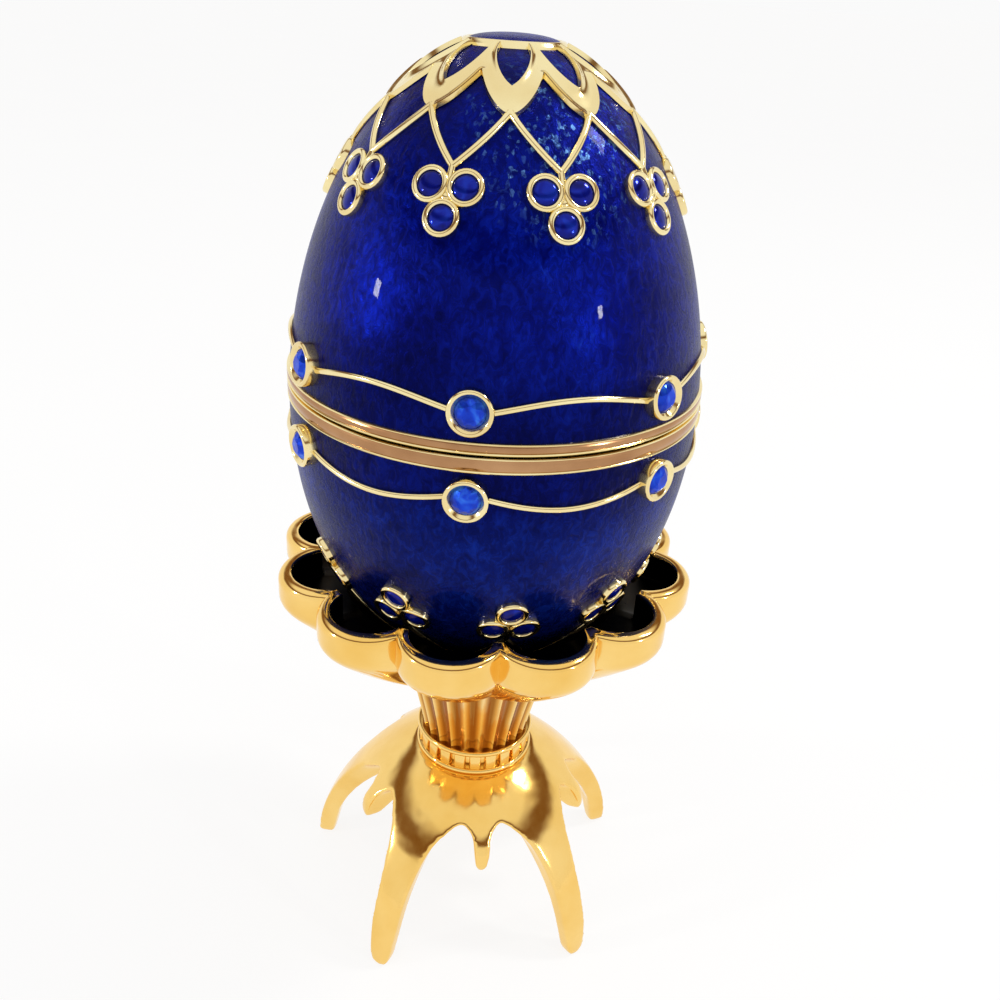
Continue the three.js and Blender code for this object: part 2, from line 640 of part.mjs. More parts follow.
function makeFestoon(prefix, height, bow) {
  const holeRadius = STONE_RADIUS + STONE_GAP;
  const reach = degrees((BEZEL_RADIUS + holeRadius) / 2 / eggRadius(height));
  const cut = [
    [0, 0],
    [STONE_RADIUS, 0],
    [STONE_RADIUS, STONE_GIRDLE],
    [STONE_TABLE_RADIUS, STONE_HEIGHT],
    [0, STONE_HEIGHT],
  ];
  const forms = [];
  const stones = [];
  for (let place = 0; place < FESTOON_PLACES; place += 1) {
    const angle = place * STONE_PITCH;
    forms.push(wire([angle + reach, height], [angle + STONE_PITCH - reach, height], bow));
    forms.push(onEgg(ring(holeRadius, BEZEL_RADIUS, 0, BEZEL_HEIGHT, BEZEL_SEGMENTS), angle, height));
    const form = onEgg(turned(cut, SMALL_SEGMENTS), angle, height);
    stones.push(piece(`${prefix}_stone_${place + 1}`, solidOf(form), stone));
  }
  return [piece(`${prefix}_festoon`, joined(forms), gold), ...stones];
}

// Lattices

// Three round cups that touch, each with a domed stone: two in a row and a single one above or below.
function makeTrefoil(name, angle, height, singleSide) {
  const rowOffset = (-singleSide * TREFOIL_PITCH * Math.sqrt(3)) / 6;
  const places = [
    [-TREFOIL_PITCH / 2, rowOffset],
    [TREFOIL_PITCH / 2, rowOffset],
    [0, -2 * rowOffset],
  ];
  const cupRadius = (TREFOIL_PITCH * TREFOIL_OVERLAP) / 2;
  const profile = [
    [0, 0],
    [cupRadius, 0],
    [cupRadius, TREFOIL_CUP_HEIGHT],
    [0, TREFOIL_CUP_HEIGHT + TREFOIL_STONE_RISE],
  ];
  const { up } = surfaceFrame(angle, height);
  const cups = places.map(([across, along]) => {
    const cupHeight = height + along * up.z;
    const cupAngle = angle + degrees(across / eggRadius(cupHeight));
    return onEgg(turned(profile, SMALL_SEGMENTS), cupAngle, cupHeight);
  });
  return piece(name, joined(cups), stone);
}

// Gold star of petals round the medallion, each with an almond window, laid on the crown of the egg.
function rosette() {
  const outline = new THREE.Shape();
  const windows = [];
  const belly = (WINDOW_INNER_RADIUS + WINDOW_OUTER_RADIUS) / 2;
  const side = degrees((2 * WINDOW_HALF_WIDTH) / belly);
  const points = [];
  for (let i = 0; i < PETAL_COUNT; i += 1) {
    const angle = LID_LATTICE_TURN + i * PETAL_PITCH;
    const valley = angle + PETAL_PITCH / 2;
    points.push(polar(valley - PETAL_PITCH / 4, PETAL_EDGE_RADIUS + PETAL_BULGE));
    points.push(polar(valley, PETAL_VALLEY_RADIUS));
    points.push(polar(valley + PETAL_PITCH / 4, PETAL_EDGE_RADIUS + PETAL_BULGE));
    points.push(polar(valley + PETAL_PITCH / 2, PETAL_TIP_RADIUS));
    const start = polar(angle, WINDOW_INNER_RADIUS);
    const end = polar(angle, WINDOW_OUTER_RADIUS);
    const window = new THREE.Path();
    window.moveTo(start.x, start.y);
    window.quadraticCurveTo(...polar(angle + side, belly).toArray(), end.x, end.y);
    window.quadraticCurveTo(...polar(angle - side, belly).toArray(), start.x, start.y);
    windows.push(window);
  }
  outline.setFromPoints(points);
  const opening = [];
  for (let i = 0; i < 2 * PETAL_COUNT; i += 1) {
    opening.push(polar(LID_LATTICE_TURN + (i * PETAL_PITCH) / 2, MEDALLION_RADIUS));
  }
  outline.holes.push(...windows, new THREE.Path(opening));
  const from = crownHeight(PETAL_TIP_RADIUS + WIRE_WIDTH);
  const crownSkin = eggLayer(-WIRE_HEIGHT, WIRE_HEIGHT, from, EGG_LENGTH + WIRE_HEIGHT);
  return solidOf(prism(outline, from, EGG_LENGTH + CUT_PAST)).intersect(crownSkin);
}

function makeLidLattice() {
  const tipHeight = crownHeight(PETAL_TIP_RADIUS - WIRE_WIDTH);
  const apexHeight = LID_TREFOIL_HEIGHT + LID_APEX_RISE * surfaceFrame(0, LID_TREFOIL_HEIGHT).up.z;
  const wires = [];
  const trefoils = [];
  for (let i = 0; i < PETAL_COUNT; i += 1) {
    const angle = LID_LATTICE_TURN + i * PETAL_PITCH;
    const next = angle + PETAL_PITCH / 2;
    wires.push(wire([angle, tipHeight], [next, apexHeight]));
    wires.push(wire([next, apexHeight], [angle + PETAL_PITCH, tipHeight]));
    trefoils.push(makeTrefoil(`lid_trefoil_${i + 1}`, next, LID_TREFOIL_HEIGHT, -1));
  }
  return [piece('lid_lattice', joined(wires).add(rosette()), gold), ...trefoils];
}

function makeBaseTrefoils() {
  const trefoils = [];
  for (let i = 0; i < PETAL_COUNT; i += 1) {
    const angle = BASE_TREFOIL_TURN + i * PETAL_PITCH;
    trefoils.push(makeTrefoil(`base_trefoil_${i + 1}`, angle, BASE_TREFOIL_HEIGHT, 1));
  }
  return trefoils;
}

// Assembly

const hinge = makeHinge();

const stand = new THREE.Group();
stand.add(makeFoot(), makeRing(), makeStem(), makeCup(), makeScrew(), makeWasher());
stand.rotation.z = radians(STAND_TURN);

const egg = new THREE.Group();
egg.add(...makeBaseBody(), ...makeFestoon('base', BASE_FESTOON_HEIGHT, BASE_FESTOON_BOW));
egg.add(...makeBaseTrefoils(), ...hinge.base);
egg.add(...makeLidBody(), ...makeFestoon('lid', LID_FESTOON_HEIGHT, LID_FESTOON_BOW));
egg.add(...makeLidLattice(), makeCabochon(), ...hinge.lid);
egg.position.z = EGG_BOTTOM;

const trinketBox = new THREE.Group();
trinketBox.add(stand, egg);

export default trinketBox;
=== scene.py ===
# %% [markdown]
# # Egg trinket box on a five-legged stand
# The real object is a hinged metal egg, enamelled deep blue, that stands loose in a gilt cup.
# A CAD model already fixes every size and every joint. This script loads it as a frame and dresses it:
# each plain solid is replaced by a smooth, detailed piece that sits in the same place.
# Everything below is in metres for Blender, but the sizes are written in millimetres, as a maker would.

# %% Load the frame
import math

import bmesh
import bpy
from mathutils import Matrix, Vector


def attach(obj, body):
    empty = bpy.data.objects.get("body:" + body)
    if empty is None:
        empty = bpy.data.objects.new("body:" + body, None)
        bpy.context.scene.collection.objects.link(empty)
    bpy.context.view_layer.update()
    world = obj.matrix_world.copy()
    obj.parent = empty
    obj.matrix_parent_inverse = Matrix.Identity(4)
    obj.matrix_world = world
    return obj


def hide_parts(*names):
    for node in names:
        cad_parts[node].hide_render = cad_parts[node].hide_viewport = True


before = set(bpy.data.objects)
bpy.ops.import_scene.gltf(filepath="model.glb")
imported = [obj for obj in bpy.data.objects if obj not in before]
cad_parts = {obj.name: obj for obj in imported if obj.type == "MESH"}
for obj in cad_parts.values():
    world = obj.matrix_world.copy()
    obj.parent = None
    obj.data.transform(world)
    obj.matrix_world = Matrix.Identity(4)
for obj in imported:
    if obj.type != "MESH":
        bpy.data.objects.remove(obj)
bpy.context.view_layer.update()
scene = bpy.context.scene
MM = 0.001

# %% [markdown]
# ## Camera
# The photograph looks down on the egg from close by, so the perspective is strong.
# Aiming a camera with a constraint would be easy, but the picture is also rolled a little.
# So its three axes are worked out from the viewing direction and the roll, and set as one matrix.

# %% Camera
CAMERA_PLACE = Vector((11.47, -128.40, 133.42)) * MM
CAMERA_LOOK = Vector((-0.0674, 0.8898, -0.4513)).normalized()
CAMERA_ROLL = math.radians(3.73)
CAMERA_LENS = 36.83
CAMERA_NEAR = 0.01


def camera_axes(look, roll):
    level = look.cross(Vector((0, 0, 1))).normalized()
    upright = level.cross(look)
    right = level * math.cos(roll) + upright * math.sin(roll)
    up = upright * math.cos(roll) - level * math.sin(roll)
    return Matrix((right, up, -look)).transposed()


lens = bpy.data.cameras.new("camera")
lens.lens = CAMERA_LENS
lens.clip_start = CAMERA_NEAR
camera = bpy.data.objects.new("camera", lens)
scene.collection.objects.link(camera)
camera.matrix_world = Matrix.Translation(CAMERA_PLACE) @ camera_axes(CAMERA_LOOK, CAMERA_ROLL).to_4x4()
scene.camera = camera
print("camera at", [round(v / MM) for v in CAMERA_PLACE], "mm")

# %% [markdown]
# ## Building blocks for finishes
# A procedural material is a small chain: a coordinate, a pattern, a ramp that turns it into colour or
# roughness, and the shader. Object coordinates are used all over, because every piece keeps its place
# in its mesh: then one pattern runs on over neighbouring pieces at the right size. As they are in
# metres, a pattern with a scale of 1000 has features of about a millimetre.

# %% Finish helpers
PER_MM = 1000.0


def new_finish(name, metallic, coat=0.0, coat_roughness=0.03):
    finish = bpy.data.materials.new(name)
    finish.use_nodes = True
    shader = finish.node_tree.nodes["Principled BSDF"]
    shader.inputs["Metallic"].default_value = metallic
    shader.inputs["Coat Weight"].default_value = coat
    shader.inputs["Coat Roughness"].default_value = coat_roughness
    return finish, shader


def add_node(finish, kind, **values):
    node = finish.node_tree.nodes.new(kind)
    for label, value in values.items():
        node.inputs[label.replace("_", " ")].default_value = value
    return node


def join(finish, source, target):
    finish.node_tree.links.new(source, target)


def object_place(finish, stretch=(1, 1, 1)):
    place_node = finish.node_tree.nodes.new("ShaderNodeTexCoord")
    mapping = add_node(finish, "ShaderNodeMapping", Scale=stretch)
    join(finish, place_node.outputs["Object"], mapping.inputs["Vector"])
    return mapping.outputs["Vector"]


def noise(finish, features_per_mm, detail=3.0, roughness=0.5, distortion=0.0, stretch=(1, 1, 1)):
    node = add_node(
        finish,
        "ShaderNodeTexNoise",
        Scale=features_per_mm * PER_MM,
        Detail=detail,
        Roughness=roughness,
        Distortion=distortion,
    )
    join(finish, object_place(finish, stretch), node.inputs["Vector"])
    return node.outputs["Fac"]


def ramp(finish, source, stops):
    stops = list(stops)
    node = finish.node_tree.nodes.new("ShaderNodeValToRGB")
    stop_list = node.color_ramp.elements
    while len(stop_list) < len(stops):
        stop_list.new(1.0)
    for element, (position, colour) in zip(stop_list, stops):
        element.position = position
        element.color = (*colour, 1.0)
    join(finish, source, node.inputs["Fac"])
    return node.outputs["Color"]


def spread(finish, source, low, high):
    node = add_node(finish, "ShaderNodeMapRange", To_Min=low, To_Max=high)
    join(finish, source, node.inputs["Value"])
    return node.outputs["Result"]


def relief(finish, shader, source, depth_mm, strength=1.0):
    node = add_node(finish, "ShaderNodeBump", Strength=strength, Distance=depth_mm * MM)
    join(finish, source, node.inputs["Height"])
    join(finish, node.outputs["Normal"], shader.inputs["Normal"])


def maths(finish, operation, *sources):
    node = finish.node_tree.nodes.new("ShaderNodeMath")
    node.operation = operation
    for socket, source in zip(node.inputs, sources):
        if isinstance(source, float):
            socket.default_value = source
        else:
            join(finish, source, socket)
    return node.outputs[0]


def object_axes(finish):
    place_node = finish.node_tree.nodes.new("ShaderNodeTexCoord")
    parts = finish.node_tree.nodes.new("ShaderNodeSeparateXYZ")
    join(finish, place_node.outputs["Object"], parts.inputs[0])
    return parts.outputs


# %% [markdown]
# ## Gilt metal
# The stand is cast, polished and plated with a warm yellow gold. The wires and settings of the egg are
# a paler gold. The bands at the seam are that gold at their edges and a darker copper between them, a
# painted dark reflection of their rounded middle. Polished metal is mostly reflection, so a flat colour
# looks like plastic paint: what sells it is a slightly uneven colour, a roughness that changes from
# place to place, and the faint waves that hand polishing leaves.
# The inside of the box is only brushed, so it is duller. The hollows of the cup are painted near-black
# with the same recipe: a painted shade that stands for the shadow and dark reflections deep in the lobes.

# %% Gold finishes
WEAR_PER_MM = 0.9
WAVES_PER_MM = 0.16
TONES_PER_MM = 0.12
TONE_ENDS = (0.3, 0.7)
MIRROR = (0.06, 0.17)
BRIGHT = (0.08, 0.18)
SATIN = (0.12, 0.24)
BRUSHED = (0.24, 0.36)
MATT = (0.20, 0.42)
CAST_WAVE = 0.12
FINE_WAVE = 0.05


def polish(finish, shader, roughness, wave_mm):
    wear = noise(finish, WEAR_PER_MM, detail=6.0, roughness=0.65)
    join(finish, spread(finish, wear, *roughness), shader.inputs["Roughness"])
    waves = noise(finish, WAVES_PER_MM, detail=2.0)
    relief(finish, shader, waves, wave_mm)


def gold_finish(name, deep, light, roughness, wave_mm):
    finish, shader = new_finish(name, metallic=1.0)
    tone = noise(finish, TONES_PER_MM, detail=4.0)
    join(finish, ramp(finish, tone, zip(TONE_ENDS, (deep, light))), shader.inputs["Base Color"])
    polish(finish, shader, roughness, wave_mm)
    return finish


stand_gold = gold_finish("stand gold", (0.90, 0.56, 0.14), (0.97, 0.67, 0.23), MIRROR, CAST_WAVE)
wire_gold = gold_finish("wire gold", (0.84, 0.66, 0.31), (0.96, 0.84, 0.47), BRIGHT, FINE_WAVE)
inside_gold = gold_finish("inside gold", (0.72, 0.44, 0.13), (0.84, 0.56, 0.22), BRUSHED, FINE_WAVE)
# painted reflection: the darker copper for the middle of the bands stands for the dark reflection there
painted_reflection_gold = gold_finish("band gold with painted reflection", (0.38, 0.19, 0.085), (0.55, 0.31, 0.15), SATIN, FINE_WAVE)
# painted shade: near-black for the cup's hollows, standing for the shadow and dark reflections deep in the
# lobes
painted_cup_shade = gold_finish("painted cup shade", (0.004, 0.004, 0.004), (0.014, 0.011, 0.008), MATT, FINE_WAVE)
for finish in (stand_gold, wire_gold, inside_gold, painted_reflection_gold, painted_cup_shade):
    print("metal finish:", finish.name)

# %% [markdown]
# ## Blue enamel
# The enamel is clear blue glass melted over a crumpled, foil-like ground. Light goes in, is thrown
# about by the ground and comes out blue, so patches of the surface shimmer while the rest stays
# almost black. A real layer of glass would render slowly and export badly. Instead the ground is a
# rough, half-metallic blue with a flaky relief, and the smooth glass over it is the shader's clear coat.
# A second ramp, along the height of the egg, multiplies the first: the blue is darkest at the waist,
# between the wires and the bands, and lighter towards the crown, and low down it takes a greener tint, a
# painted reflection of the pale floor. Last come bright flecks of foil, painted glints in one place near
# the crown, where the lamp's highlight falls: a pattern of small cells has a random colour in each,
# and only the lightest cells close to that place are kept.

# %% Enamel finish
EGG_BOTTOM = 46.0
EGG_LENGTH = 82.3
FLAKE_STOPS = [
    (0.10, (0.0006, 0.0015, 0.05)),
    (0.24, (0.0012, 0.006, 0.18)),
    (0.38, (0.003, 0.018, 0.38)),
    (0.55, (0.015, 0.09, 0.70)),
]
# height ramp: darkest at the waist, lighter towards the crown; the greener tint low down is a painted
# reflection of the pale floor
HEIGHT_TINT_STOPS = [
    (0.00, (0.85, 1.0, 0.62)),
    (0.37, (0.85, 1.0, 0.62)),
    (0.43, (0.34, 0.34, 0.40)),
    (0.50, (0.30, 0.30, 0.36)),
    (0.57, (0.36, 0.36, 0.44)),
    (0.66, (0.50, 0.46, 0.64)),
    (1.00, (0.70, 0.72, 0.85)),
]
CLOUDS_PER_MM = 0.07
FLAKES_PER_MM = 0.9
FLAKE_STRETCH = (1.0, 1.0, 0.6)
FLAKE_DEPTH = 0.13
GROUND_ROUGHNESS = (0.18, 0.36)
BLACK = (0.0, 0.0, 0.0)
WHITE = (1.0, 1.0, 1.0)
# painted glints: bright foil flecks, kept only in one patch near the crown where the lamp's highlight
# falls
GLINTS_PER_MM = 2.4
GLINT_STRETCH = (1.0, 1.0, 0.5)
FEW_STOPS = [(0.68, BLACK), (0.90, WHITE)]
UNEVEN_STOPS = [(0.42, BLACK), (0.62, WHITE)]
GLINT_COLOUR = (0.24, 0.56, 1.0, 1.0)
GLINT_PLACE = (7.5, -14.2, 119.0)
GLINT_REACH = 12.5


def height_share(finish):
    low = EGG_BOTTOM * MM
    share = add_node(finish, "ShaderNodeMapRange", From_Min=low, From_Max=low + EGG_LENGTH * MM)
    join(finish, object_axes(finish)["Z"], share.inputs["Value"])
    return share.outputs["Result"]


# mask for the painted glints: light cells, near that one place
def painted_glint_share(finish, flakes):
    cells = add_node(finish, "ShaderNodeTexVoronoi", Scale=GLINTS_PER_MM * PER_MM, Randomness=1.0)
    join(finish, object_place(finish, GLINT_STRETCH), cells.inputs["Vector"])
    few = ramp(finish, cells.outputs["Color"], FEW_STOPS)
    uneven = ramp(finish, flakes, UNEVEN_STOPS)
    away = finish.node_tree.nodes.new("ShaderNodeVectorMath")
    away.operation = "DISTANCE"
    join(finish, object_place(finish), away.inputs[0])
    away.inputs[1].default_value = Vector(GLINT_PLACE) * MM
    near = add_node(finish, "ShaderNodeMapRange", From_Max=GLINT_REACH * MM, To_Min=1.0, To_Max=0.0)
    join(finish, away.outputs["Value"], near.inputs["Value"])
    return maths(finish, "MULTIPLY", maths(finish, "MULTIPLY", few, uneven), near.outputs["Result"])


def enamel_finish(name):
    finish, shader = new_finish(name, metallic=0.55, coat=0.08, coat_roughness=0.02)
    shader.inputs["Coat IOR"].default_value = 1.4
    shader.inputs["Specular IOR Level"].default_value = 0.0
    clouds = noise(finish, CLOUDS_PER_MM, detail=5.0, roughness=0.6, distortion=0.4)
    flakes = noise(finish, FLAKES_PER_MM, detail=5.0, roughness=0.7, distortion=1.2, stretch=FLAKE_STRETCH)
    ground = ramp(finish, maths(finish, "MULTIPLY", clouds, flakes), FLAKE_STOPS)
    depth = finish.node_tree.nodes.new("ShaderNodeVectorMath")
    depth.operation = "MULTIPLY"
    join(finish, ground, depth.inputs[0])
    # the height ramp, with its painted floor reflection low down, multiplies the ground colour
    join(finish, ramp(finish, height_share(finish), HEIGHT_TINT_STOPS), depth.inputs[1])
    # the painted glints go over the ground colour
    glints = finish.node_tree.nodes.new("ShaderNodeMix")
    glints.data_type = "RGBA"
    glints.inputs["B"].default_value = GLINT_COLOUR
    join(finish, painted_glint_share(finish, flakes), glints.inputs["Factor"])
    join(finish, depth.outputs["Vector"], glints.inputs["A"])
    join(finish, glints.outputs["Result"], shader.inputs["Base Color"])
    join(finish, spread(finish, flakes, *GROUND_ROUGHNESS), shader.inputs["Roughness"])
    relief(finish, shader, flakes, FLAKE_DEPTH)
    return finish


blue_enamel = enamel_finish("blue enamel")
print("enamel finish:", blue_enamel.name)

# %% [markdown]
# ## Stones and steel
# The stones are blue glass with a mirror back, so most of their light comes from behind the surface.
# Clear facets would be truer, but slow to render and hard to export at this size. A half-metallic blue
# under a thin clear coat looks much the same; its soft light and dark patches, at random places, are
# painted reflections from the mirror back. Pin, screw and magnets are plain steel with a brushed grain,
# which is a noise pattern stretched along one axis.

# %% Stone and steel finishes
# painted reflections: soft light and dark patches in the stones' colour, at random places
STONE_GLINTS_PER_MM = 0.5
STONE_ENDS = (0.30, 0.55, 0.75)
GRAIN_PER_MM = 1.5
GRAIN_STRETCH = (1.0, 1.0, 0.1)
STEEL_DARK = (0.42, 0.43, 0.45)
STEEL_LIGHT = (0.60, 0.61, 0.63)
STEEL_ROUGHNESS = (0.22, 0.38)


def stone_finish(name, dark, middle, light):
    finish, shader = new_finish(name, metallic=0.5, coat=0.22, coat_roughness=0.01)
    shader.inputs["Coat IOR"].default_value = 1.45
    shader.inputs["Specular IOR Level"].default_value = 0.1
    shader.inputs["Roughness"].default_value = 0.12
    # noise for the painted reflections inside the stone
    depth = noise(finish, STONE_GLINTS_PER_MM, detail=2.0, distortion=1.0)
    stops = zip(STONE_ENDS, (dark, middle, light))
    join(finish, ramp(finish, depth, stops), shader.inputs["Base Color"])
    return finish


def steel_finish(name):
    finish, shader = new_finish(name, metallic=1.0)
    grain = noise(finish, GRAIN_PER_MM, detail=4.0, stretch=GRAIN_STRETCH)
    stops = zip(TONE_ENDS, (STEEL_DARK, STEEL_LIGHT))
    join(finish, ramp(finish, grain, stops), shader.inputs["Base Color"])
    join(finish, spread(finish, grain, *STEEL_ROUGHNESS), shader.inputs["Roughness"])
    return finish


blue_stone = stone_finish("blue stone", (0.002, 0.018, 0.34), (0.005, 0.05, 0.62), (0.03, 0.17, 0.85))
navy_stone = stone_finish("navy stone", (0.0008, 0.003, 0.12), (0.0015, 0.008, 0.26), (0.006, 0.03, 0.42))
bright_steel = steel_finish("bright steel")
print("other finishes:", blue_stone.name, navy_stone.name, bright_steel.name)

# %% [markdown]
# ## Making meshes
# Most pieces are round about the upright axis, or nearly so. Blender's Spin and Screw tools turn one
# profile round an axis, but here the profile often changes with the angle: the cup has lobes, the foot
# has legs. So one helper takes a closed outline of (radius, height) for each angle and skins them
# together. A plain turned piece is the case where all the outlines are the same.

# %% Mesh helpers
WELD = 1e-7
CREASE = 32
SMOOTH_ALL = 180
ROUND_STEPS = 8


def place(angle, radius, height):
    turn = math.radians(angle)
    return Vector((radius * math.sin(turn), -radius * math.cos(turn), height)) * MM


def mix(low, high, share):
    return low + (high - low) * share


def link_mesh(name, mesh, finish):
    mesh.materials.clear()
    mesh.materials.append(finish)
    piece = bpy.data.objects.new(name, mesh)
    scene.collection.objects.link(piece)
    return piece


def as_mesh(name, shape):
    mesh = bpy.data.meshes.new(name)
    shape.to_mesh(mesh)
    shape.free()
    return mesh


def shade(mesh, crease):
    mesh.shade_smooth()
    mesh.set_sharp_from_angle(angle=math.radians(crease))


def skin(name, corners, faces, finish, crease=CREASE):
    shape = bmesh.new()
    points = [shape.verts.new(corner) for corner in corners]
    for face in faces:
        shape.faces.new([points[i] for i in face])
    bmesh.ops.remove_doubles(shape, verts=shape.verts, dist=WELD)
    bmesh.ops.recalc_face_normals(shape, faces=shape.faces)
    mesh = as_mesh(name, shape)
    shade(mesh, crease)
    return link_mesh(name, mesh, finish)


def wrapped(name, columns, finish, crease=CREASE):
    count = len(columns[0][1])
    corners = [place(angle, r, z) for angle, outline in columns for r, z in outline]
    faces = []
    for i in range(len(columns)):
        here = i * count
        there = (i + 1) % len(columns) * count
        for k in range(count):
            n = (k + 1) % count
            faces.append((here + k, there + k, there + n, here + n))
    return skin(name, corners, faces, finish, crease)


def turned(name, outline, finish, segments=128, crease=CREASE):
    return wrapped(name, [(360 * i / segments, outline) for i in range(segments)], finish, crease)


def shares(steps):
    return [i / steps for i in range(steps + 1)]


def arc(centre_r, centre_z, radius, start, end, steps=ROUND_STEPS):
    turns = [math.radians(mix(start, end, share)) for share in shares(steps)]
    return [(centre_r + radius * math.cos(t), centre_z + radius * math.sin(t)) for t in turns]


def settle(piece, body, slot, *nodes):
    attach(piece, body)
    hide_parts(*nodes)
    print(piece.name, "rides on", body, "with", len(piece.data.polygons), "faces")
    return piece


# %% [markdown]
# ## Foot
# The foot is a domed casting cut into five legs, and the edge of each opening carries a small blunt
# drop. It could be cut out with booleans, but those leave poor edges to round. Instead every upright
# slice through the casting is drawn: dome outside, flat top, screw hole, dome inside, and a lower edge
# that follows the curve of the opening. Below its root a drop hangs more upright than the dome.
# Casting and polishing leave no sharp edge, and a Bevel modifier can't round thin legs by this much,
# so the piece is remeshed evenly and then smoothed.
# Smoothing shrinks a shape a little, so its height is set back at the end.

# %% Foot
STAND_TURN = 11.2
FOOT_TURN = 1.3
LEG_COUNT = 5
LEG_PITCH = 360 / LEG_COUNT
FOOT_RADIUS = 26.1
FOOT_DOME = 28.1
FOOT_HEIGHT = 25.6
FOOT_INNER_RADIUS = 23.6
FOOT_INNER_DOME = 22.3
FOOT_POWER = 1.8
CORE_RADIUS = 10.0
SCREW_HOLE = 2.3
WASHER_SEAT = 4.5
DROP_TIP = 15.2
DROP_ROOT = (5.3, 20.2)
DROP_LEAN = 0.35
DROP_EDGE = [(0.0, DROP_TIP), (2.5, 15.6), (3.7, 17.8), DROP_ROOT]
ARCH_EDGE = [(11.8, 21.3), (21.5, 19.4), (26.5, 16.8)]
LEG_EDGE = [(29.8, 12.0), (31.4, 5.0), (32.3, 1.8), (33.2, 0.4), (34.6, 0.0), (36.0, 0.0)]
ARCH_STEPS = 7
DOME_STEPS = 14
TOP_STEPS = 3
INNER_STEPS = 10
INNER_CROWDING = 0.8
CAST_GRAIN = 0.25
CAST_PASSES = 36


def dome_radius(radius, height, level):
    return radius * (1 - min(level / height, 1.0) ** FOOT_POWER) ** (1 / FOOT_POWER)


def through(points, steps):
    ends = [(-points[1][0], points[1][1]), *points, points[-1]]
    curve = []
    for a, b, c, d in zip(ends, ends[1:], ends[2:], ends[3:]):
        for i in range(steps):
            t = i / steps
            weights = (
                (-t + 2 * t**2 - t**3) / 2,
                (2 - 5 * t**2 + 3 * t**3) / 2,
                (t + 4 * t**2 - 3 * t**3) / 2,
                (-(t**2) + t**3) / 2,
            )
            curve.append(tuple(sum(w * p[k] for w, p in zip(weights, (a, b, c, d))) for k in (0, 1)))
    curve.append(points[-1])
    return curve


def foot_radius(level, in_drop):
    radius = dome_radius(FOOT_RADIUS, FOOT_DOME, level)
    if not in_drop or level > DROP_ROOT[1]:
        return radius
    share = (DROP_ROOT[1] - level) / (DROP_ROOT[1] - DROP_TIP)
    root = dome_radius(FOOT_RADIUS, FOOT_DOME, DROP_ROOT[1])
    return mix(root, radius, mix(1.0, DROP_LEAN, share))


def foot_outline(low, in_drop):
    edge = foot_radius(low, in_drop)
    seat = dome_radius(FOOT_INNER_DOME, FOOT_INNER_RADIUS, WASHER_SEAT)
    inner_edge = max(CORE_RADIUS, dome_radius(FOOT_INNER_RADIUS, FOOT_INNER_DOME, low))
    inner_low = dome_radius(FOOT_INNER_DOME, FOOT_INNER_RADIUS, inner_edge)
    top_radius = dome_radius(FOOT_RADIUS, FOOT_DOME, FOOT_HEIGHT)
    start = math.asin(low / FOOT_DOME)
    end = math.asin(FOOT_HEIGHT / FOOT_DOME)
    outline = []
    for share in shares(DOME_STEPS):
        level = FOOT_DOME * math.sin(mix(start, end, share))
        outline.append((foot_radius(level, in_drop), level))
    outline += [(mix(top_radius, SCREW_HOLE, share), FOOT_HEIGHT) for share in shares(TOP_STEPS)[1:]]
    outline.append((SCREW_HOLE, seat))
    for share in shares(INNER_STEPS):
        radius = mix(WASHER_SEAT, inner_edge, share**INNER_CROWDING)
        outline.append((radius, dome_radius(FOOT_INNER_DOME, FOOT_INNER_RADIUS, radius)))
    outline[-1] = (inner_edge, inner_low)
    outline += [(inner_edge, low), (mix(inner_edge, edge, 0.5), low)]
    return outline


def foot_columns():
    half = through(DROP_EDGE + ARCH_EDGE + LEG_EDGE, ARCH_STEPS)
    whole = half + [(LEG_PITCH - angle, low) for angle, low in reversed(half[1:-1])]
    columns = []
    for leg in range(LEG_COUNT):
        for angle, low in whole:
            turn = STAND_TURN + FOOT_TURN + leg * LEG_PITCH + angle
            in_drop = min(angle, LEG_PITCH - angle) < DROP_ROOT[0]
            columns.append((turn, foot_outline(max(low, 0.0), in_drop)))
    return columns


def finished(piece, crease=CREASE):
    graph = bpy.context.evaluated_depsgraph_get()
    mesh = bpy.data.meshes.new_from_object(piece.evaluated_get(graph), depsgraph=graph)
    piece.modifiers.clear()
    piece.data = mesh
    shade(mesh, crease)
    return piece


def softened(piece, grain, passes):
    even = piece.modifiers.new("even mesh", "REMESH")
    even.mode = "VOXEL"
    even.voxel_size = grain * MM
    soft = piece.modifiers.new("soft edges", "SMOOTH")
    soft.factor = 0.5
    soft.iterations = passes
    return finished(piece, SMOOTH_ALL)


def set_height(piece, low, high):
    heights = [point.co.z for point in piece.data.vertices]
    lowest = min(heights)
    scale = (high - low) * MM / (max(heights) - lowest)
    for point in piece.data.vertices:
        point.co.z = low * MM + (point.co.z - lowest) * scale


foot = wrapped("foot_casting", foot_columns(), stand_gold)
softened(foot, CAST_GRAIN, CAST_PASSES)
set_height(foot, 0.0, FOOT_HEIGHT)
settle(foot, "stand", "gilt_metal", "foot")

# %% [markdown]
# ## Repeated blocks on the ring
# Between two plain rims the ring carries a row of small square blocks. That is a classic job for
# Geometry Nodes: a circle of points, one block instanced on each, and the whole made real at the end.
# The tree has named inputs, so the count or the radius can be changed without touching the nodes.

# %% Node tree helpers


def new_tree(name, inputs):
    tree = bpy.data.node_groups.new(name, "GeometryNodeTree")
    keys = {}
    for label, kind in inputs:
        socket = tree.interface.new_socket(label, in_out="INPUT", socket_type=kind)
        keys[label] = socket.identifier
    tree.interface.new_socket("Mesh", in_out="OUTPUT", socket_type="NodeSocketGeometry")
    return tree, keys, tree.nodes.new("NodeGroupInput")


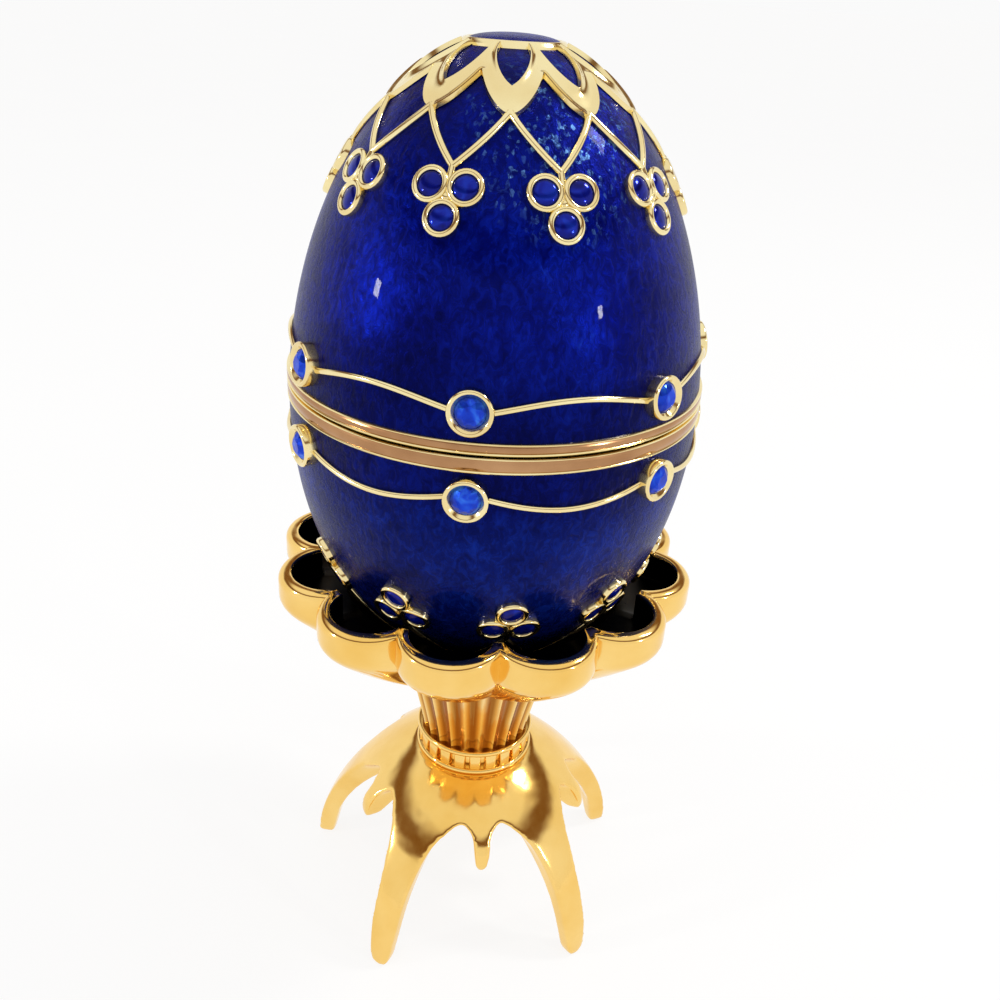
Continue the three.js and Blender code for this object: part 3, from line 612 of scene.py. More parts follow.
def copies_on(tree, start, label, points, rotation):
    pattern = tree.nodes.new("GeometryNodeObjectInfo")
    pattern.inputs["As Instance"].default_value = True
    tree.links.new(start.outputs[label], pattern.inputs["Object"])
    copies = tree.nodes.new("GeometryNodeInstanceOnPoints")
    tree.links.new(points, copies.inputs["Points"])
    tree.links.new(pattern.outputs["Geometry"], copies.inputs["Instance"])
    tree.links.new(rotation, copies.inputs["Rotation"])
    return copies.outputs["Instances"]


def end_tree(tree, start, shape):
    real = tree.nodes.new("GeometryNodeRealizeInstances")
    tree.links.new(shape, real.inputs[0])
    coat = tree.nodes.new("GeometryNodeSetMaterial")
    tree.links.new(real.outputs[0], coat.inputs["Geometry"])
    tree.links.new(start.outputs["Finish"], coat.inputs["Material"])
    end = tree.nodes.new("NodeGroupOutput")
    tree.links.new(coat.outputs[0], end.inputs[0])


def run_tree(piece, tree, keys, values, crease=CREASE):
    modifier = piece.modifiers.new(tree.name, "NODES")
    modifier.node_group = tree
    for label, value in values.items():
        modifier[keys[label]] = value
    return finished(piece, crease)


def empty_piece(name, finish):
    return link_mesh(name, bpy.data.meshes.new(name), finish)


# %% Beaded ring
RING_BOTTOM = FOOT_HEIGHT
RING_TOP = 29.8
RING_RADIUS = 9.0
RING_GROOVE = 7.9
RIM_HALF = 0.45
BLOCK_COUNT = 22
BLOCK_SIZE = (1.5, 1.75, 3.1)
BLOCK_ROUNDING = 0.32


def block_tree():
    inputs = [
        ("Points", "NodeSocketGeometry"),
        ("Count", "NodeSocketInt"),
        ("Radius", "NodeSocketFloat"),
        ("Block", "NodeSocketObject"),
        ("Finish", "NodeSocketMaterial"),
    ]
    tree, keys, start = new_tree("blocks round a ring", inputs)
    nodes = tree.nodes
    link = tree.links.new
    circle = nodes.new("GeometryNodeMeshCircle")
    link(start.outputs["Count"], circle.inputs["Vertices"])
    link(start.outputs["Radius"], circle.inputs["Radius"])
    index = nodes.new("GeometryNodeInputIndex")
    step = nodes.new("ShaderNodeMath")
    step.operation = "DIVIDE"
    step.inputs[0].default_value = 2 * math.pi
    link(start.outputs["Count"], step.inputs[1])
    turn = nodes.new("ShaderNodeMath")
    turn.operation = "MULTIPLY"
    link(index.outputs[0], turn.inputs[0])
    link(step.outputs[0], turn.inputs[1])
    angles = nodes.new("ShaderNodeCombineXYZ")
    link(turn.outputs[0], angles.inputs["Z"])
    end_tree(tree, start, copies_on(tree, start, "Block", circle.outputs["Mesh"], angles.outputs[0]))
    return tree, keys


def block_pattern():
    shape = bmesh.new()
    bmesh.ops.create_cube(shape, size=1.0)
    bmesh.ops.scale(shape, vec=Vector(BLOCK_SIZE) * MM, verts=shape.verts)
    middle = Vector((0, 0, (RING_BOTTOM + RING_TOP) / 2)) * MM
    bmesh.ops.translate(shape, vec=middle, verts=shape.verts)
    rounding = BLOCK_ROUNDING * MM
    bmesh.ops.bevel(shape, geom=shape.edges, offset=rounding, segments=3, profile=0.5, affect="EDGES")
    return link_mesh("block", as_mesh("block", shape), stand_gold)


def ring_outline():
    low = RING_BOTTOM + RIM_HALF
    high = RING_TOP - RIM_HALF
    rim = RING_RADIUS - RIM_HALF
    outline = [(SCREW_HOLE, RING_BOTTOM), (rim, RING_BOTTOM)]
    outline += arc(rim, low, RIM_HALF, -90, 90)
    outline += [(RING_GROOVE, low + RIM_HALF), (RING_GROOVE, high - RIM_HALF)]
    outline += arc(rim, high, RIM_HALF, -90, 90)
    outline += [(rim, RING_TOP), (SCREW_HOLE, RING_TOP)]
    return outline


ring = turned("beaded_ring_rims", ring_outline(), stand_gold)
settle(ring, "stand", "gilt_metal", "beaded_ring")
tree, keys = block_tree()
pattern = block_pattern()
blocks = empty_piece("beaded_ring_blocks", stand_gold)
values = {"Count": BLOCK_COUNT, "Radius": RING_GROOVE * MM, "Block": pattern, "Finish": stand_gold}
run_tree(blocks, tree, keys, values)
bpy.data.objects.remove(pattern)
settle(blocks, "stand", "gilt_metal")

# %% [markdown]
# ## Fluted stem
# The stem is a short trumpet with many hollow flutes that meet in sharp ridges. Its shape follows a
# rule: the radius grows with the height, and each flute takes a half sine wave out of it.
# So each slice is drawn from that rule, with many slices so that the ridges stay crisp.
# The gold is painted bright on the ridges and deep and brownish in the flutes: a painted shade in the
# hollows.
# The finish knows where it is by the same sine wave, worked out from the angle about the axis.

# %% Stem
STEM_TOP = 43.6
STEM_FOOT_RADIUS = 8.2
STEM_TOP_RADIUS = 11.5
STEM_FLARE = 1.15
FLUTE_COUNT = 24
FLUTE_DEPTH = 0.75
FLUTE_START = 0.75
FLUTE_SLICES = 12
STEM_STEPS = 16
STEM_WAVE = 0.08
SOCKET_RADIUS = 4.8
SOCKET_BOTTOM = 39.7
# painted shade: from bright gold on the ridges to deep brown at the bottom of the flutes
FLUTE_SHADE_STOPS = [(0.10, (0.95, 0.66, 0.26)), (0.50, (0.72, 0.36, 0.07)), (0.92, (0.36, 0.13, 0.015))]


def stem_columns():
    columns = []
    slices = FLUTE_COUNT * FLUTE_SLICES
    for i in range(slices):
        angle = 360 * i / slices
        hollow = FLUTE_DEPTH * abs(math.sin(math.radians(angle * FLUTE_COUNT / 2)))
        outline = []
        for share in shares(STEM_STEPS):
            crest = mix(STEM_FOOT_RADIUS, STEM_TOP_RADIUS, share**STEM_FLARE)
            radius = crest - hollow * mix(FLUTE_START, 1.0, share)
            outline.append((radius, mix(RING_TOP, STEM_TOP, share)))
        outline += [(SOCKET_RADIUS, STEM_TOP), (SOCKET_RADIUS, SOCKET_BOTTOM)]
        outline += [(SCREW_HOLE, SOCKET_BOTTOM), (SCREW_HOLE, RING_TOP)]
        columns.append((STAND_TURN + angle, outline))
    return columns


def hollow_share(finish):
    axes = object_axes(finish)
    angle = maths(finish, "ARCTAN2", axes["X"], maths(finish, "MULTIPLY", axes["Y"], -1.0))
    turn = maths(finish, "SUBTRACT", angle, math.radians(STAND_TURN))
    wave = maths(finish, "SINE", maths(finish, "MULTIPLY", turn, FLUTE_COUNT / 2))
    return maths(finish, "ABSOLUTE", wave)


def stem_finish(name):
    finish, shader = new_finish(name, metallic=1.0)
    # the flutes get the painted shade, by their depth
    tone = ramp(finish, hollow_share(finish), FLUTE_SHADE_STOPS)
    join(finish, tone, shader.inputs["Base Color"])
    polish(finish, shader, MIRROR, STEM_WAVE)
    return finish


stem = wrapped("fluted_stem_trumpet", stem_columns(), stem_finish("stem gold with painted shade"))
settle(stem, "stand", "gilt_metal", "fluted_stem")

# %% [markdown]
# ## Egg shape
# Everything on the egg depends on one curve. A plain ellipse looks like a ball that was stretched, so
# the curve has one more number, the taper, which makes the upper end narrower. An inset gives the
# similar curve inside it, for the layers of the wall. Heights on the egg are counted from its lowest
# point. A second helper gives, for any place on the surface, the point and the outward direction there.

# %% Egg helpers
EGG_WIDTH = 53.9
EGG_TAPER = 3.2
LID_BAND = (41.15, 42.6)
BASE_BAND = (38.9, 40.85)
SLOPE_STEP = 0.01


def egg_radius(height, inset=0.0):
    length = EGG_LENGTH - 2 * inset
    x = height - EGG_LENGTH / 2
    across = max(length**2 - 4 * x**2, 0.0)
    along = length**2 + 8 * EGG_TAPER * x + 4 * EGG_TAPER**2
    return (EGG_WIDTH / 2 - inset) * math.sqrt(across / along)


def crown_height(radius):
    k = (2 * radius / EGG_WIDTH) ** 2
    rest = k * (EGG_LENGTH**2 + 4 * EGG_TAPER**2) - EGG_LENGTH**2
    return EGG_LENGTH / 2 - EGG_TAPER * k + math.sqrt((EGG_TAPER * k) ** 2 - rest / 4)


def egg_curve(inset, low, high, steps):
    reach = EGG_LENGTH / 2 - inset
    start, end = (math.asin(max(-1.0, min(1.0, (h - EGG_LENGTH / 2) / reach))) for h in (low, high))
    curve = []
    for share in shares(steps):
        height = EGG_LENGTH / 2 + reach * math.sin(mix(start, end, share))
        curve.append((egg_radius(height, inset), height + EGG_BOTTOM))
    return curve


def egg_axes(angle, height):
    step = SLOPE_STEP
    slope = (egg_radius(height + step) - egg_radius(height - step)) / (2 * step)
    side = place(angle + 90, 1, 0).normalized()
    out = place(angle, 1, -slope).normalized()
    return side, out.cross(side), out


def on_egg(angle, height, lift=0.0):
    out = egg_axes(angle, height)[2]
    return place(angle, egg_radius(height), height + EGG_BOTTOM) + out * lift * MM


print("egg is", EGG_LENGTH, "mm long and", EGG_WIDTH, "mm wide")

# %% [markdown]
# ## Scalloped cup
# The cup opens from the stem into twelve round lobes with a flat rim, and the egg stands in its bowl.
# Each upright slice is again drawn from rules: circles give the lobes outside and their hollows inside,
# and the bowl keeps the egg's own curve at a small distance. Slices lie exactly on the sharp notches
# between two lobes, so that those stay sharp.

# %% Cup
LOBE_COUNT = 12
LOBE_PITCH = 360 / LOBE_COUNT
LOBE_STEPS = 40
LOBE_RADIUS = 7.1
LOBE_REACH = 22.48
HOLLOW_RADIUS = 5.4
HOLLOW_REACH = 22.3
THROAT_RADIUS = 23.217
CUP_BOTTOM = STEM_TOP
CUP_RIM = 60.2
LOBE_FLOOR = 56.0
WALL_SHARE = 0.73
FLARE_POWER = 0.72
FLARE_ROUNDING = 0.07
BOWL_GAP = 1.2
PAD_RADIUS = 5.0
SPIGOT_RADIUS = 4.5
SPIGOT_BOTTOM = 40.0
HOLE_TOP = 44.7
RIM_ROUNDING = 1.1
RIM_START = 15
INNER_ROUNDING = 0.4
PAD_RISE = 0.4
CUP_STEPS = 30
CUP_CROWDING = 1.3
RIM_STEPS = 5
INNER_RIM_STEPS = 4
WALL_ROWS = 3
BOWL_STEPS = 12
FACES_IN = -0.05
FACES_UP = 0.3


def far_side(reach, radius, turn):
    across = reach * math.sin(turn)
    if abs(across) > radius:
        return 0.0
    return reach * math.cos(turn) + math.sqrt(radius**2 - across**2)


def flare(share):
    low = WALL_SHARE - FLARE_ROUNDING
    high = WALL_SHARE + FLARE_ROUNDING
    if share >= high:
        return 1.0
    if share <= low:
        return (share / WALL_SHARE) ** FLARE_POWER
    t = (share - low) / (high - low)
    return mix((low / WALL_SHARE) ** FLARE_POWER, 1.0, 2 * t - t**2)


def cup_outline(turn):
    outer = far_side(LOBE_REACH, LOBE_RADIUS, turn)
    inner = max(THROAT_RADIUS, far_side(HOLLOW_REACH, HOLLOW_RADIUS, turn))
    wall_top = (CUP_RIM - RIM_ROUNDING - CUP_BOTTOM) / (CUP_RIM - CUP_BOTTOM)
    outline = []
    for share in shares(CUP_STEPS):
        rise = wall_top * share**CUP_CROWDING
        outline.append((mix(STEM_TOP_RADIUS, outer, flare(rise)), mix(CUP_BOTTOM, CUP_RIM, rise)))
    outline += arc(outer - RIM_ROUNDING, CUP_RIM - RIM_ROUNDING, RIM_ROUNDING, RIM_START, 90, RIM_STEPS)
    high = CUP_RIM - INNER_ROUNDING
    low = LOBE_FLOOR + INNER_ROUNDING
    outline += arc(inner + INNER_ROUNDING, high, INNER_ROUNDING, 90, 180, INNER_RIM_STEPS)
    outline += [(inner, mix(high, low, share)) for share in shares(WALL_ROWS)[1:-1]]
    outline += arc(inner - INNER_ROUNDING, low, INNER_ROUNDING, 0, -90, INNER_RIM_STEPS)
    bowl = egg_curve(-BOWL_GAP, PAD_RISE - BOWL_GAP, LOBE_FLOOR - EGG_BOTTOM, BOWL_STEPS)
    outline += [point for point in reversed(bowl) if point[0] > PAD_RADIUS]
    outline += [(PAD_RADIUS, EGG_BOTTOM), (0.0, EGG_BOTTOM), (0.0, HOLE_TOP), (SCREW_HOLE, HOLE_TOP)]
    outline += [(SCREW_HOLE, SPIGOT_BOTTOM), (SPIGOT_RADIUS, SPIGOT_BOTTOM), (SPIGOT_RADIUS, CUP_BOTTOM)]
    return outline


def cup_columns():
    columns = []
    for i in range(LOBE_COUNT * LOBE_STEPS):
        share = i % LOBE_STEPS / LOBE_STEPS
        turn = math.radians(LOBE_PITCH * (share - 0.5))
        columns.append((STAND_TURN + LOBE_PITCH * i / LOBE_STEPS, cup_outline(turn)))
    return columns


def second_finish(piece, finish, chosen):
    piece.data.materials.append(finish)
    for face in piece.data.polygons:
        outward = Vector((face.center.x, face.center.y, 0.0)).normalized()
        if chosen(face.center.z / MM, face.normal.dot(outward), face.normal.z):
            face.material_index = 1


# picks the faces inside the cup's lobes and bowl, which get the painted shade
def painted_shade_faces(level, outward, upward):
    wall = outward < FACES_IN and level < CUP_RIM - INNER_ROUNDING
    floor = upward > FACES_UP and level < CUP_RIM - 2 * RIM_ROUNDING
    return level > EGG_BOTTOM - BOWL_GAP and (wall or floor)


cup = wrapped("scalloped_cup_lobes", cup_columns(), stand_gold)
# the hollows of the cup take the painted shade
second_finish(cup, painted_cup_shade, painted_shade_faces)
settle(cup, "stand", "gilt_metal", "scalloped_cup")

# %% [markdown]
# ## Egg walls
# Each half of the egg is a metal shell with the enamel melted on, and a gold band along the open edge.
# All three are turned shapes. The bands are rolled half-round mouldings with a narrow rounded line of
# pale gold at both edges, and between the lines a darker copper, a painted dark reflection. Their small
# pockets for the closing magnets are cut with a boolean, because a round pocket in a ring can't come out
# of a turned outline.

# %% Shells and enamel
ENAMEL_INSET = 0.06
ENAMEL_BACK = 1.0
SHELL_INSET = 1.3
SHELL_BACK = 2.9
CROWN_OPENING = EGG_LENGTH - 1.3
WALL_STEPS = 48
EGG_SEGMENTS = 160


def layer(name, front, back, low, high, finish):
    outside = egg_curve(front, max(low, front), min(high, EGG_LENGTH - front), WALL_STEPS)
    inside = egg_curve(back, max(low, back), min(high, EGG_LENGTH - back), WALL_STEPS)
    return turned(name, outside + inside[::-1], finish, EGG_SEGMENTS)


base_shell = layer("base_shell_wall", SHELL_INSET, SHELL_BACK, 0, BASE_BAND[0], inside_gold)
settle(base_shell, "egg_base", "gilt_metal", "base_shell")
lid_shell = layer("lid_shell_wall", SHELL_INSET, SHELL_BACK, LID_BAND[1], EGG_LENGTH, inside_gold)
settle(lid_shell, "egg_lid", "gilt_metal", "lid_shell")
base_enamel = layer("base_enamel_coat", ENAMEL_INSET, ENAMEL_BACK, 0, BASE_BAND[0], blue_enamel)
settle(base_enamel, "egg_base", "blue_enamel", "base_enamel")
lid_enamel = layer("lid_enamel_coat", ENAMEL_INSET, ENAMEL_BACK, LID_BAND[1], CROWN_OPENING, blue_enamel)
settle(lid_enamel, "egg_lid", "blue_enamel", "lid_enamel")

# %% Bands
BAND_RADIUS = 27.1
BAND_INNER = 23.7
LIP = (22.5, 23.4, 42.0)
EDGE_LINE = 0.3
BAND_DIP = 0.14
EDGE_ARC = 60
EDGE_STEPS = 4
FACE_STEPS = 8
FACES_OUT = 0.5
MAGNET_REACH = 25.4
POCKET_RADIUS = 1.3
POCKET_SIDES = 32
LID_POCKET = (40.15, 42.05)
BASE_POCKET = (39.55, 41.85)


def band_face(low, high):
    line = EDGE_LINE / 2
    face = arc(BAND_RADIUS - line, low + line, line, -90, EDGE_ARC, EDGE_STEPS)
    for share in shares(FACE_STEPS):
        swell = BAND_DIP * (1 - math.sin(math.pi * share))
        face.append((BAND_RADIUS - swell, mix(low + 2 * line, high - 2 * line, share)))
    return face + arc(BAND_RADIUS - line, high - line, line, -EDGE_ARC, 90, EDGE_STEPS)


def raised(outline):
    return [(r, z + EGG_BOTTOM) for r, z in outline]


def cut_pocket(band, low, high):
    shape = bmesh.new()
    middle = place(0, MAGNET_REACH, EGG_BOTTOM + (low + high) / 2)
    bmesh.ops.create_cone(
        shape,
        cap_ends=True,
        segments=POCKET_SIDES,
        radius1=POCKET_RADIUS * MM,
        radius2=POCKET_RADIUS * MM,
        depth=(high - low) * MM,
        matrix=Matrix.Translation(middle),
    )
    cutter = link_mesh("pocket", as_mesh("pocket", shape), wire_gold)
    cut = band.modifiers.new("pocket", "BOOLEAN")
    cut.operation = "DIFFERENCE"
    cut.object = cutter
    finished(band)
    bpy.data.objects.remove(cutter)


def between_edges(low, high):
    def chosen(level, outward, upward):
        return low + EDGE_LINE < level - EGG_BOTTOM < high - EDGE_LINE and outward > FACES_OUT
    return chosen


lid_outline = [(BAND_INNER, LID_BAND[0]), *band_face(*LID_BAND), (BAND_INNER, LID_BAND[1])]
lid_band = turned("lid_band_moulding", raised(lid_outline), wire_gold, EGG_SEGMENTS)
cut_pocket(lid_band, *LID_POCKET)
# between the edge lines the lid band gets the painted dark reflection
second_finish(lid_band, painted_reflection_gold, between_edges(*LID_BAND))
settle(lid_band, "egg_lid", "gilt_metal", "lid_band")
lip_inner, lip_outer, lip_top = LIP
base_outline = [(lip_inner, BASE_BAND[0]), *band_face(*BASE_BAND), (lip_outer, BASE_BAND[1])]
base_outline += [(lip_outer, lip_top), (lip_inner, lip_top)]
base_band = turned("base_band_moulding", raised(base_outline), wire_gold, EGG_SEGMENTS)
cut_pocket(base_band, *BASE_POCKET)
# between the edge lines the base band gets the painted dark reflection
second_finish(base_band, painted_reflection_gold, between_edges(*BASE_BAND))
settle(base_band, "egg_base", "gilt_metal", "base_band")

# %% [markdown]
# ## Wires and settings
# The gold lines on the enamel are flattened wires, soldered to the shell before the glass is melted
# on. They follow paths over the egg, so a Geometry Nodes tree turns paths into wires: edges become
# curves, and a small round section is run along them. A second tree puts a setting or a stone on
# each of many places. Each place carries its own direction as an attribute named facing.

# %% Wire and setting trees
WIRE_SIDES = 12
WIRE_CREASE = 60


def wire_tree():
    inputs = [
        ("Paths", "NodeSocketGeometry"),
        ("Half width", "NodeSocketFloat"),
        ("Sides", "NodeSocketInt"),
        ("Finish", "NodeSocketMaterial"),
    ]
    tree, keys, start = new_tree("wires along paths", inputs)
    nodes = tree.nodes
    link = tree.links.new
    path = nodes.new("GeometryNodeMeshToCurve")
    link(start.outputs["Paths"], path.inputs["Mesh"])
    section = nodes.new("GeometryNodeCurvePrimitiveCircle")
    link(start.outputs["Sides"], section.inputs["Resolution"])
    link(start.outputs["Half width"], section.inputs["Radius"])
    run = nodes.new("GeometryNodeCurveToMesh")
    run.inputs["Fill Caps"].default_value = True
    link(path.outputs["Curve"], run.inputs["Curve"])
    link(section.outputs["Curve"], run.inputs["Profile Curve"])
    end_tree(tree, start, run.outputs["Mesh"])
    return tree, keys


def setting_tree():
    inputs = [
        ("Places", "NodeSocketGeometry"),
        ("Setting", "NodeSocketObject"),
        ("Finish", "NodeSocketMaterial"),
    ]
    tree, keys, start = new_tree("settings on places", inputs)
    facing = tree.nodes.new("GeometryNodeInputNamedAttribute")
    facing.data_type = "FLOAT_VECTOR"
    facing.inputs["Name"].default_value = "facing"
    end_tree(tree, start, copies_on(tree, start, "Setting", start.outputs["Places"], facing.outputs[0]))
    return tree, keys


wires_along, wire_keys = wire_tree()
settings_on, setting_keys = setting_tree()


def wires(name, paths, half_width, finish):
    corners = [point for path in paths for point in path]
    edges = []
    first = 0
    for path in paths:
        edges += [(first + i, first + i + 1) for i in range(len(path) - 1)]
        first += len(path)
    piece = empty_piece(name, finish)
    piece.data.from_pydata(corners, edges, [])
    values = {"Half width": half_width * MM, "Sides": WIRE_SIDES, "Finish": finish}
    return run_tree(piece, wires_along, wire_keys, values, WIRE_CREASE)


def settings(name, places, pattern, finish, crease=CREASE):
    piece = empty_piece(name, finish)
    piece.data.from_pydata([on_egg(angle, height) for angle, height in places], [], [])
    facing = piece.data.attributes.new("facing", "FLOAT_VECTOR", "POINT")
    for item, (angle, height) in zip(facing.data, places):
        item.vector = Matrix(egg_axes(angle, height)).transposed().to_euler()
    run_tree(piece, settings_on, setting_keys, {"Setting": pattern, "Finish": finish}, crease)
    bpy.data.objects.remove(pattern)
    return piece


print("node trees:", wires_along.name, "and", settings_on.name)

# %% [markdown]
# ## Festoons at the waist
# On each half a row of faceted stones in thick round bezels runs round the waist, and a wire swings
# from each to the next. There are seven, so the hinge at the back lies between two. A bezel is a
# turned ring, made flat at the origin and then instanced. A stone is built facet by facet, and is
# shaded flat, because a smooth gem looks like a bead.

# %% Festoons
FESTOON_PLACES = 7
STONE_PITCH = 360 / FESTOON_PLACES
LID_FESTOON = 46.0
BASE_FESTOON = 35.8
LID_BOW = 1.4
BASE_BOW = -1.4
BEZEL_RADIUS = 2.65
BEZEL_HOLE = 1.78
BEZEL_HEIGHT = 1.3
BEZEL_LIP = 0.3
BEZEL_ARC = 140
BEZEL_SINK = 1.4 * BEZEL_LIP
BEZEL_SIDES = 40
SETTING_ROOT = -0.3
WIRE_HALF = 0.38
WIRE_LIFT = 0.12
WIRE_STEPS = 24
WIRE_REACH = 0.9 * BEZEL_RADIUS
GIRDLE_SIDES = 16
CROWN_SIDES = 8
GIRDLE = (1.8, 0.80)
CROWN = (1.40, 1.22)
TABLE = (0.92, 1.5)
FLAT = 1


def bezel_pattern():
    outline = [(BEZEL_HOLE, SETTING_ROOT), (BEZEL_RADIUS, SETTING_ROOT)]
    outline += arc(BEZEL_RADIUS - BEZEL_LIP, BEZEL_HEIGHT - BEZEL_LIP, BEZEL_LIP, 0, BEZEL_ARC)
    outline.append((BEZEL_HOLE, BEZEL_HEIGHT - BEZEL_SINK))
    return turned("bezel", outline, wire_gold, BEZEL_SIDES)


def facet_ring(count, radius, height, turn=0.0):
    step = 360 / count
    return [place(turn + step * i, radius, height) for i in range(count)]


def stone_pattern():
    corners = facet_ring(GIRDLE_SIDES, *GIRDLE)
    crown = len(corners)
    corners += facet_ring(CROWN_SIDES, *CROWN, 180 / CROWN_SIDES)
    table = len(corners)
    corners += facet_ring(CROWN_SIDES, *TABLE)
    back = len(corners)
    corners += facet_ring(GIRDLE_SIDES, GIRDLE[0], 0.0)
    faces = [tuple(range(table, back)), tuple(reversed(range(back, len(corners))))]
    for i in range(CROWN_SIDES):
        tip, here, there = crown + i, table + i, table + (i + 1) % CROWN_SIDES
        low, mid, high = 2 * i, 2 * i + 1, (2 * i + 2) % GIRDLE_SIDES
        faces += [(low, mid, tip), (mid, high, tip)]
        faces += [(low, tip, here), (high, there, tip), (tip, there, here)]
    for i in range(GIRDLE_SIDES):
        n = (i + 1) % GIRDLE_SIDES
        faces.append((i, back + i, back + n, n))
    return skin("stone", corners, faces, blue_stone, crease=FLAT)


def swing(start, end, height, bow):
    path = []
    for share in shares(WIRE_STEPS):
        rise = height + bow * math.sin(math.pi * share)
        path.append(on_egg(mix(start, end, share), rise, WIRE_LIFT))
    return path


def festoon(half, body, height, bow):
    places = [(i * STONE_PITCH, height) for i in range(FESTOON_PLACES)]
    reach = math.degrees(WIRE_REACH / egg_radius(height))
    paths = [swing(turn + reach, turn + STONE_PITCH - reach, height, bow) for turn, height in places]
    settle(wires(f"{half}_festoon_wires", paths, WIRE_HALF, wire_gold), body, "gilt_metal")
    bezels = settings(f"{half}_festoon_bezels", places, bezel_pattern(), wire_gold)
    settle(bezels, body, "gilt_metal", f"{half}_festoon")
    stones = settings(f"{half}_festoon_stones", places, stone_pattern(), blue_stone, crease=FLAT)
    settle(stones, body, "blue_stone", *[f"{half}_stone_{i + 1}" for i in range(len(places))])


festoon("lid", "egg_lid", LID_FESTOON, LID_BOW)
festoon("base", "egg_base", BASE_FESTOON, BASE_BOW)

# %% [markdown]
# ## Trefoils
# Groups of three small round cups hang under the crossed wires of the lid, and stand above those of
# the base. Each cup is a gold ring with a low round stone in it, and a bead of gold fills the middle.
# Again the same tree puts the three patterns on their places.

# %% Trefoils
PETAL_COUNT = 10
PETAL_PITCH = 360 / PETAL_COUNT
LATTICE_TURN = 5.0
LID_TREFOIL = 66.91
BASE_TREFOIL = 16.5
BASE_TREFOIL_TURN = 14.3
TREFOIL_PITCH = 3.95
TREFOIL_CUP = 2.1
TREFOIL_HOLE = 1.4
TREFOIL_HEIGHT = 0.7
TREFOIL_FLOOR = 0.2
TREFOIL_LEAN = 0.02
TREFOIL_SIDES = 28
TREFOIL_STONE = (TREFOIL_HOLE + 0.03, 0.15, 0.25, 0.7)
TREFOIL_BEAD = (0.75, -0.2, -0.1, 0.6)
DOME_SIDES = 24


def trefoil_places(angle, height, single):
    row = -single * TREFOIL_PITCH * math.sqrt(3) / 6
    up = egg_axes(angle, height)[1]
    places = []
    for across, along in ((-TREFOIL_PITCH / 2, row), (TREFOIL_PITCH / 2, row), (0.0, -2 * row)):
        cup_height = height + along * up.z
        places.append((angle + math.degrees(across / egg_radius(cup_height)), cup_height))
    return places


def trefoil_cup_pattern():
    wall = (TREFOIL_CUP - TREFOIL_HOLE) / 2
    outline = [(0, SETTING_ROOT), (TREFOIL_CUP - TREFOIL_LEAN, SETTING_ROOT)]
    outline += arc(TREFOIL_CUP - wall, TREFOIL_HEIGHT - wall, wall, 0, 180)
    outline += [(TREFOIL_HOLE, TREFOIL_FLOOR), (0, TREFOIL_FLOOR)]
    return turned("trefoil_cup", outline, wire_gold, TREFOIL_SIDES)


def low_dome(radius, bottom, edge, top, steps=ROUND_STEPS):
    outline = [(0, bottom)]
    for share in shares(steps)[:-1]:
        lean = math.radians(90 * share)
        outline.append((radius * math.cos(lean), mix(edge, top, math.sin(lean))))
    outline.append((0, top))
    return outline


def trefoils(half, body, turn, height, single):
    middles = [(turn + PETAL_PITCH * i, height) for i in range(PETAL_COUNT)]
    places = [spot for middle in middles for spot in trefoil_places(*middle, single)]
    cups = settings(f"{half}_trefoil_cups", places, trefoil_cup_pattern(), wire_gold)
    settle(cups, body, "gilt_metal", *[f"{half}_trefoil_{i + 1}" for i in range(PETAL_COUNT)])
    dome = turned("trefoil_stone", low_dome(*TREFOIL_STONE), navy_stone, DOME_SIDES)
    settle(settings(f"{half}_trefoil_stones", places, dome, navy_stone), body, "blue_stone")
    bead = turned("trefoil_bead", low_dome(*TREFOIL_BEAD), wire_gold, DOME_SIDES)
    settle(settings(f"{half}_trefoil_beads", middles, bead, wire_gold), body, "gilt_metal")


trefoils("lid", "egg_lid", LATTICE_TURN + PETAL_PITCH / 2, LID_TREFOIL, -1)
trefoils("base", "egg_base", BASE_TREFOIL_TURN, BASE_TREFOIL, 1)

# %% [markdown]
# ## Crossed wires
# From each petal tip two wires run down to the neighbouring trefoils and make a row of lozenges.
# Where two meet, a short stalk runs on between the cups of the trefoil. The base repeats all this
# low down, where the cup hides it, from its trefoils towards its foot.

# %% Lattice wires
PETAL_TIP = 14.6
TIP_OVERLAP = 0.3
APEX_RISE = 3.3
LID_APEX = LID_TREFOIL + APEX_RISE * egg_axes(0, LID_TREFOIL)[1].z
BASE_APEX = 13.0
BASE_TIP_RADIUS = 13.0
LATTICE_HALF = 0.42
LATTICE_STEPS = 12
HALVINGS = 40


def path_on_egg(start, end):
    path = []
    for share in shares(LATTICE_STEPS):
        angle = mix(start[0], end[0], share)
        path.append(on_egg(angle, mix(start[1], end[1], share), WIRE_LIFT))
    return path


def lattice_paths(turn, tip_height, apex_height, trefoil_height):
    paths = []
    for i in range(PETAL_COUNT):
        tip = turn + PETAL_PITCH * i
        for side in (-1, 1):
            paths.append(path_on_egg((tip, tip_height), (tip + side * PETAL_PITCH / 2, apex_height)))
        apex = tip + PETAL_PITCH / 2
        paths.append(path_on_egg((apex, apex_height), (apex, trefoil_height)))
    return paths


def base_height(radius):
    low, high = 0.0, BASE_BAND[0]
    for _ in range(HALVINGS):
        middle = (low + high) / 2
        low, high = (middle, high) if egg_radius(middle) < radius else (low, middle)
    return low


tip_height = crown_height(PETAL_TIP - TIP_OVERLAP)
lid_paths = lattice_paths(LATTICE_TURN, tip_height, LID_APEX, LID_TREFOIL)
lid_wires = wires("lid_lattice_wires", lid_paths, LATTICE_HALF, wire_gold)
settle(lid_wires, "egg_lid", "gilt_metal")
base_turn = BASE_TREFOIL_TURN - PETAL_PITCH / 2
base_paths = lattice_paths(base_turn, base_height(BASE_TIP_RADIUS), BASE_APEX, BASE_TREFOIL)
base_wires = wires("base_lattice_wires", base_paths, LATTICE_HALF, wire_gold)
settle(base_wires, "egg_base", "gilt_metal")

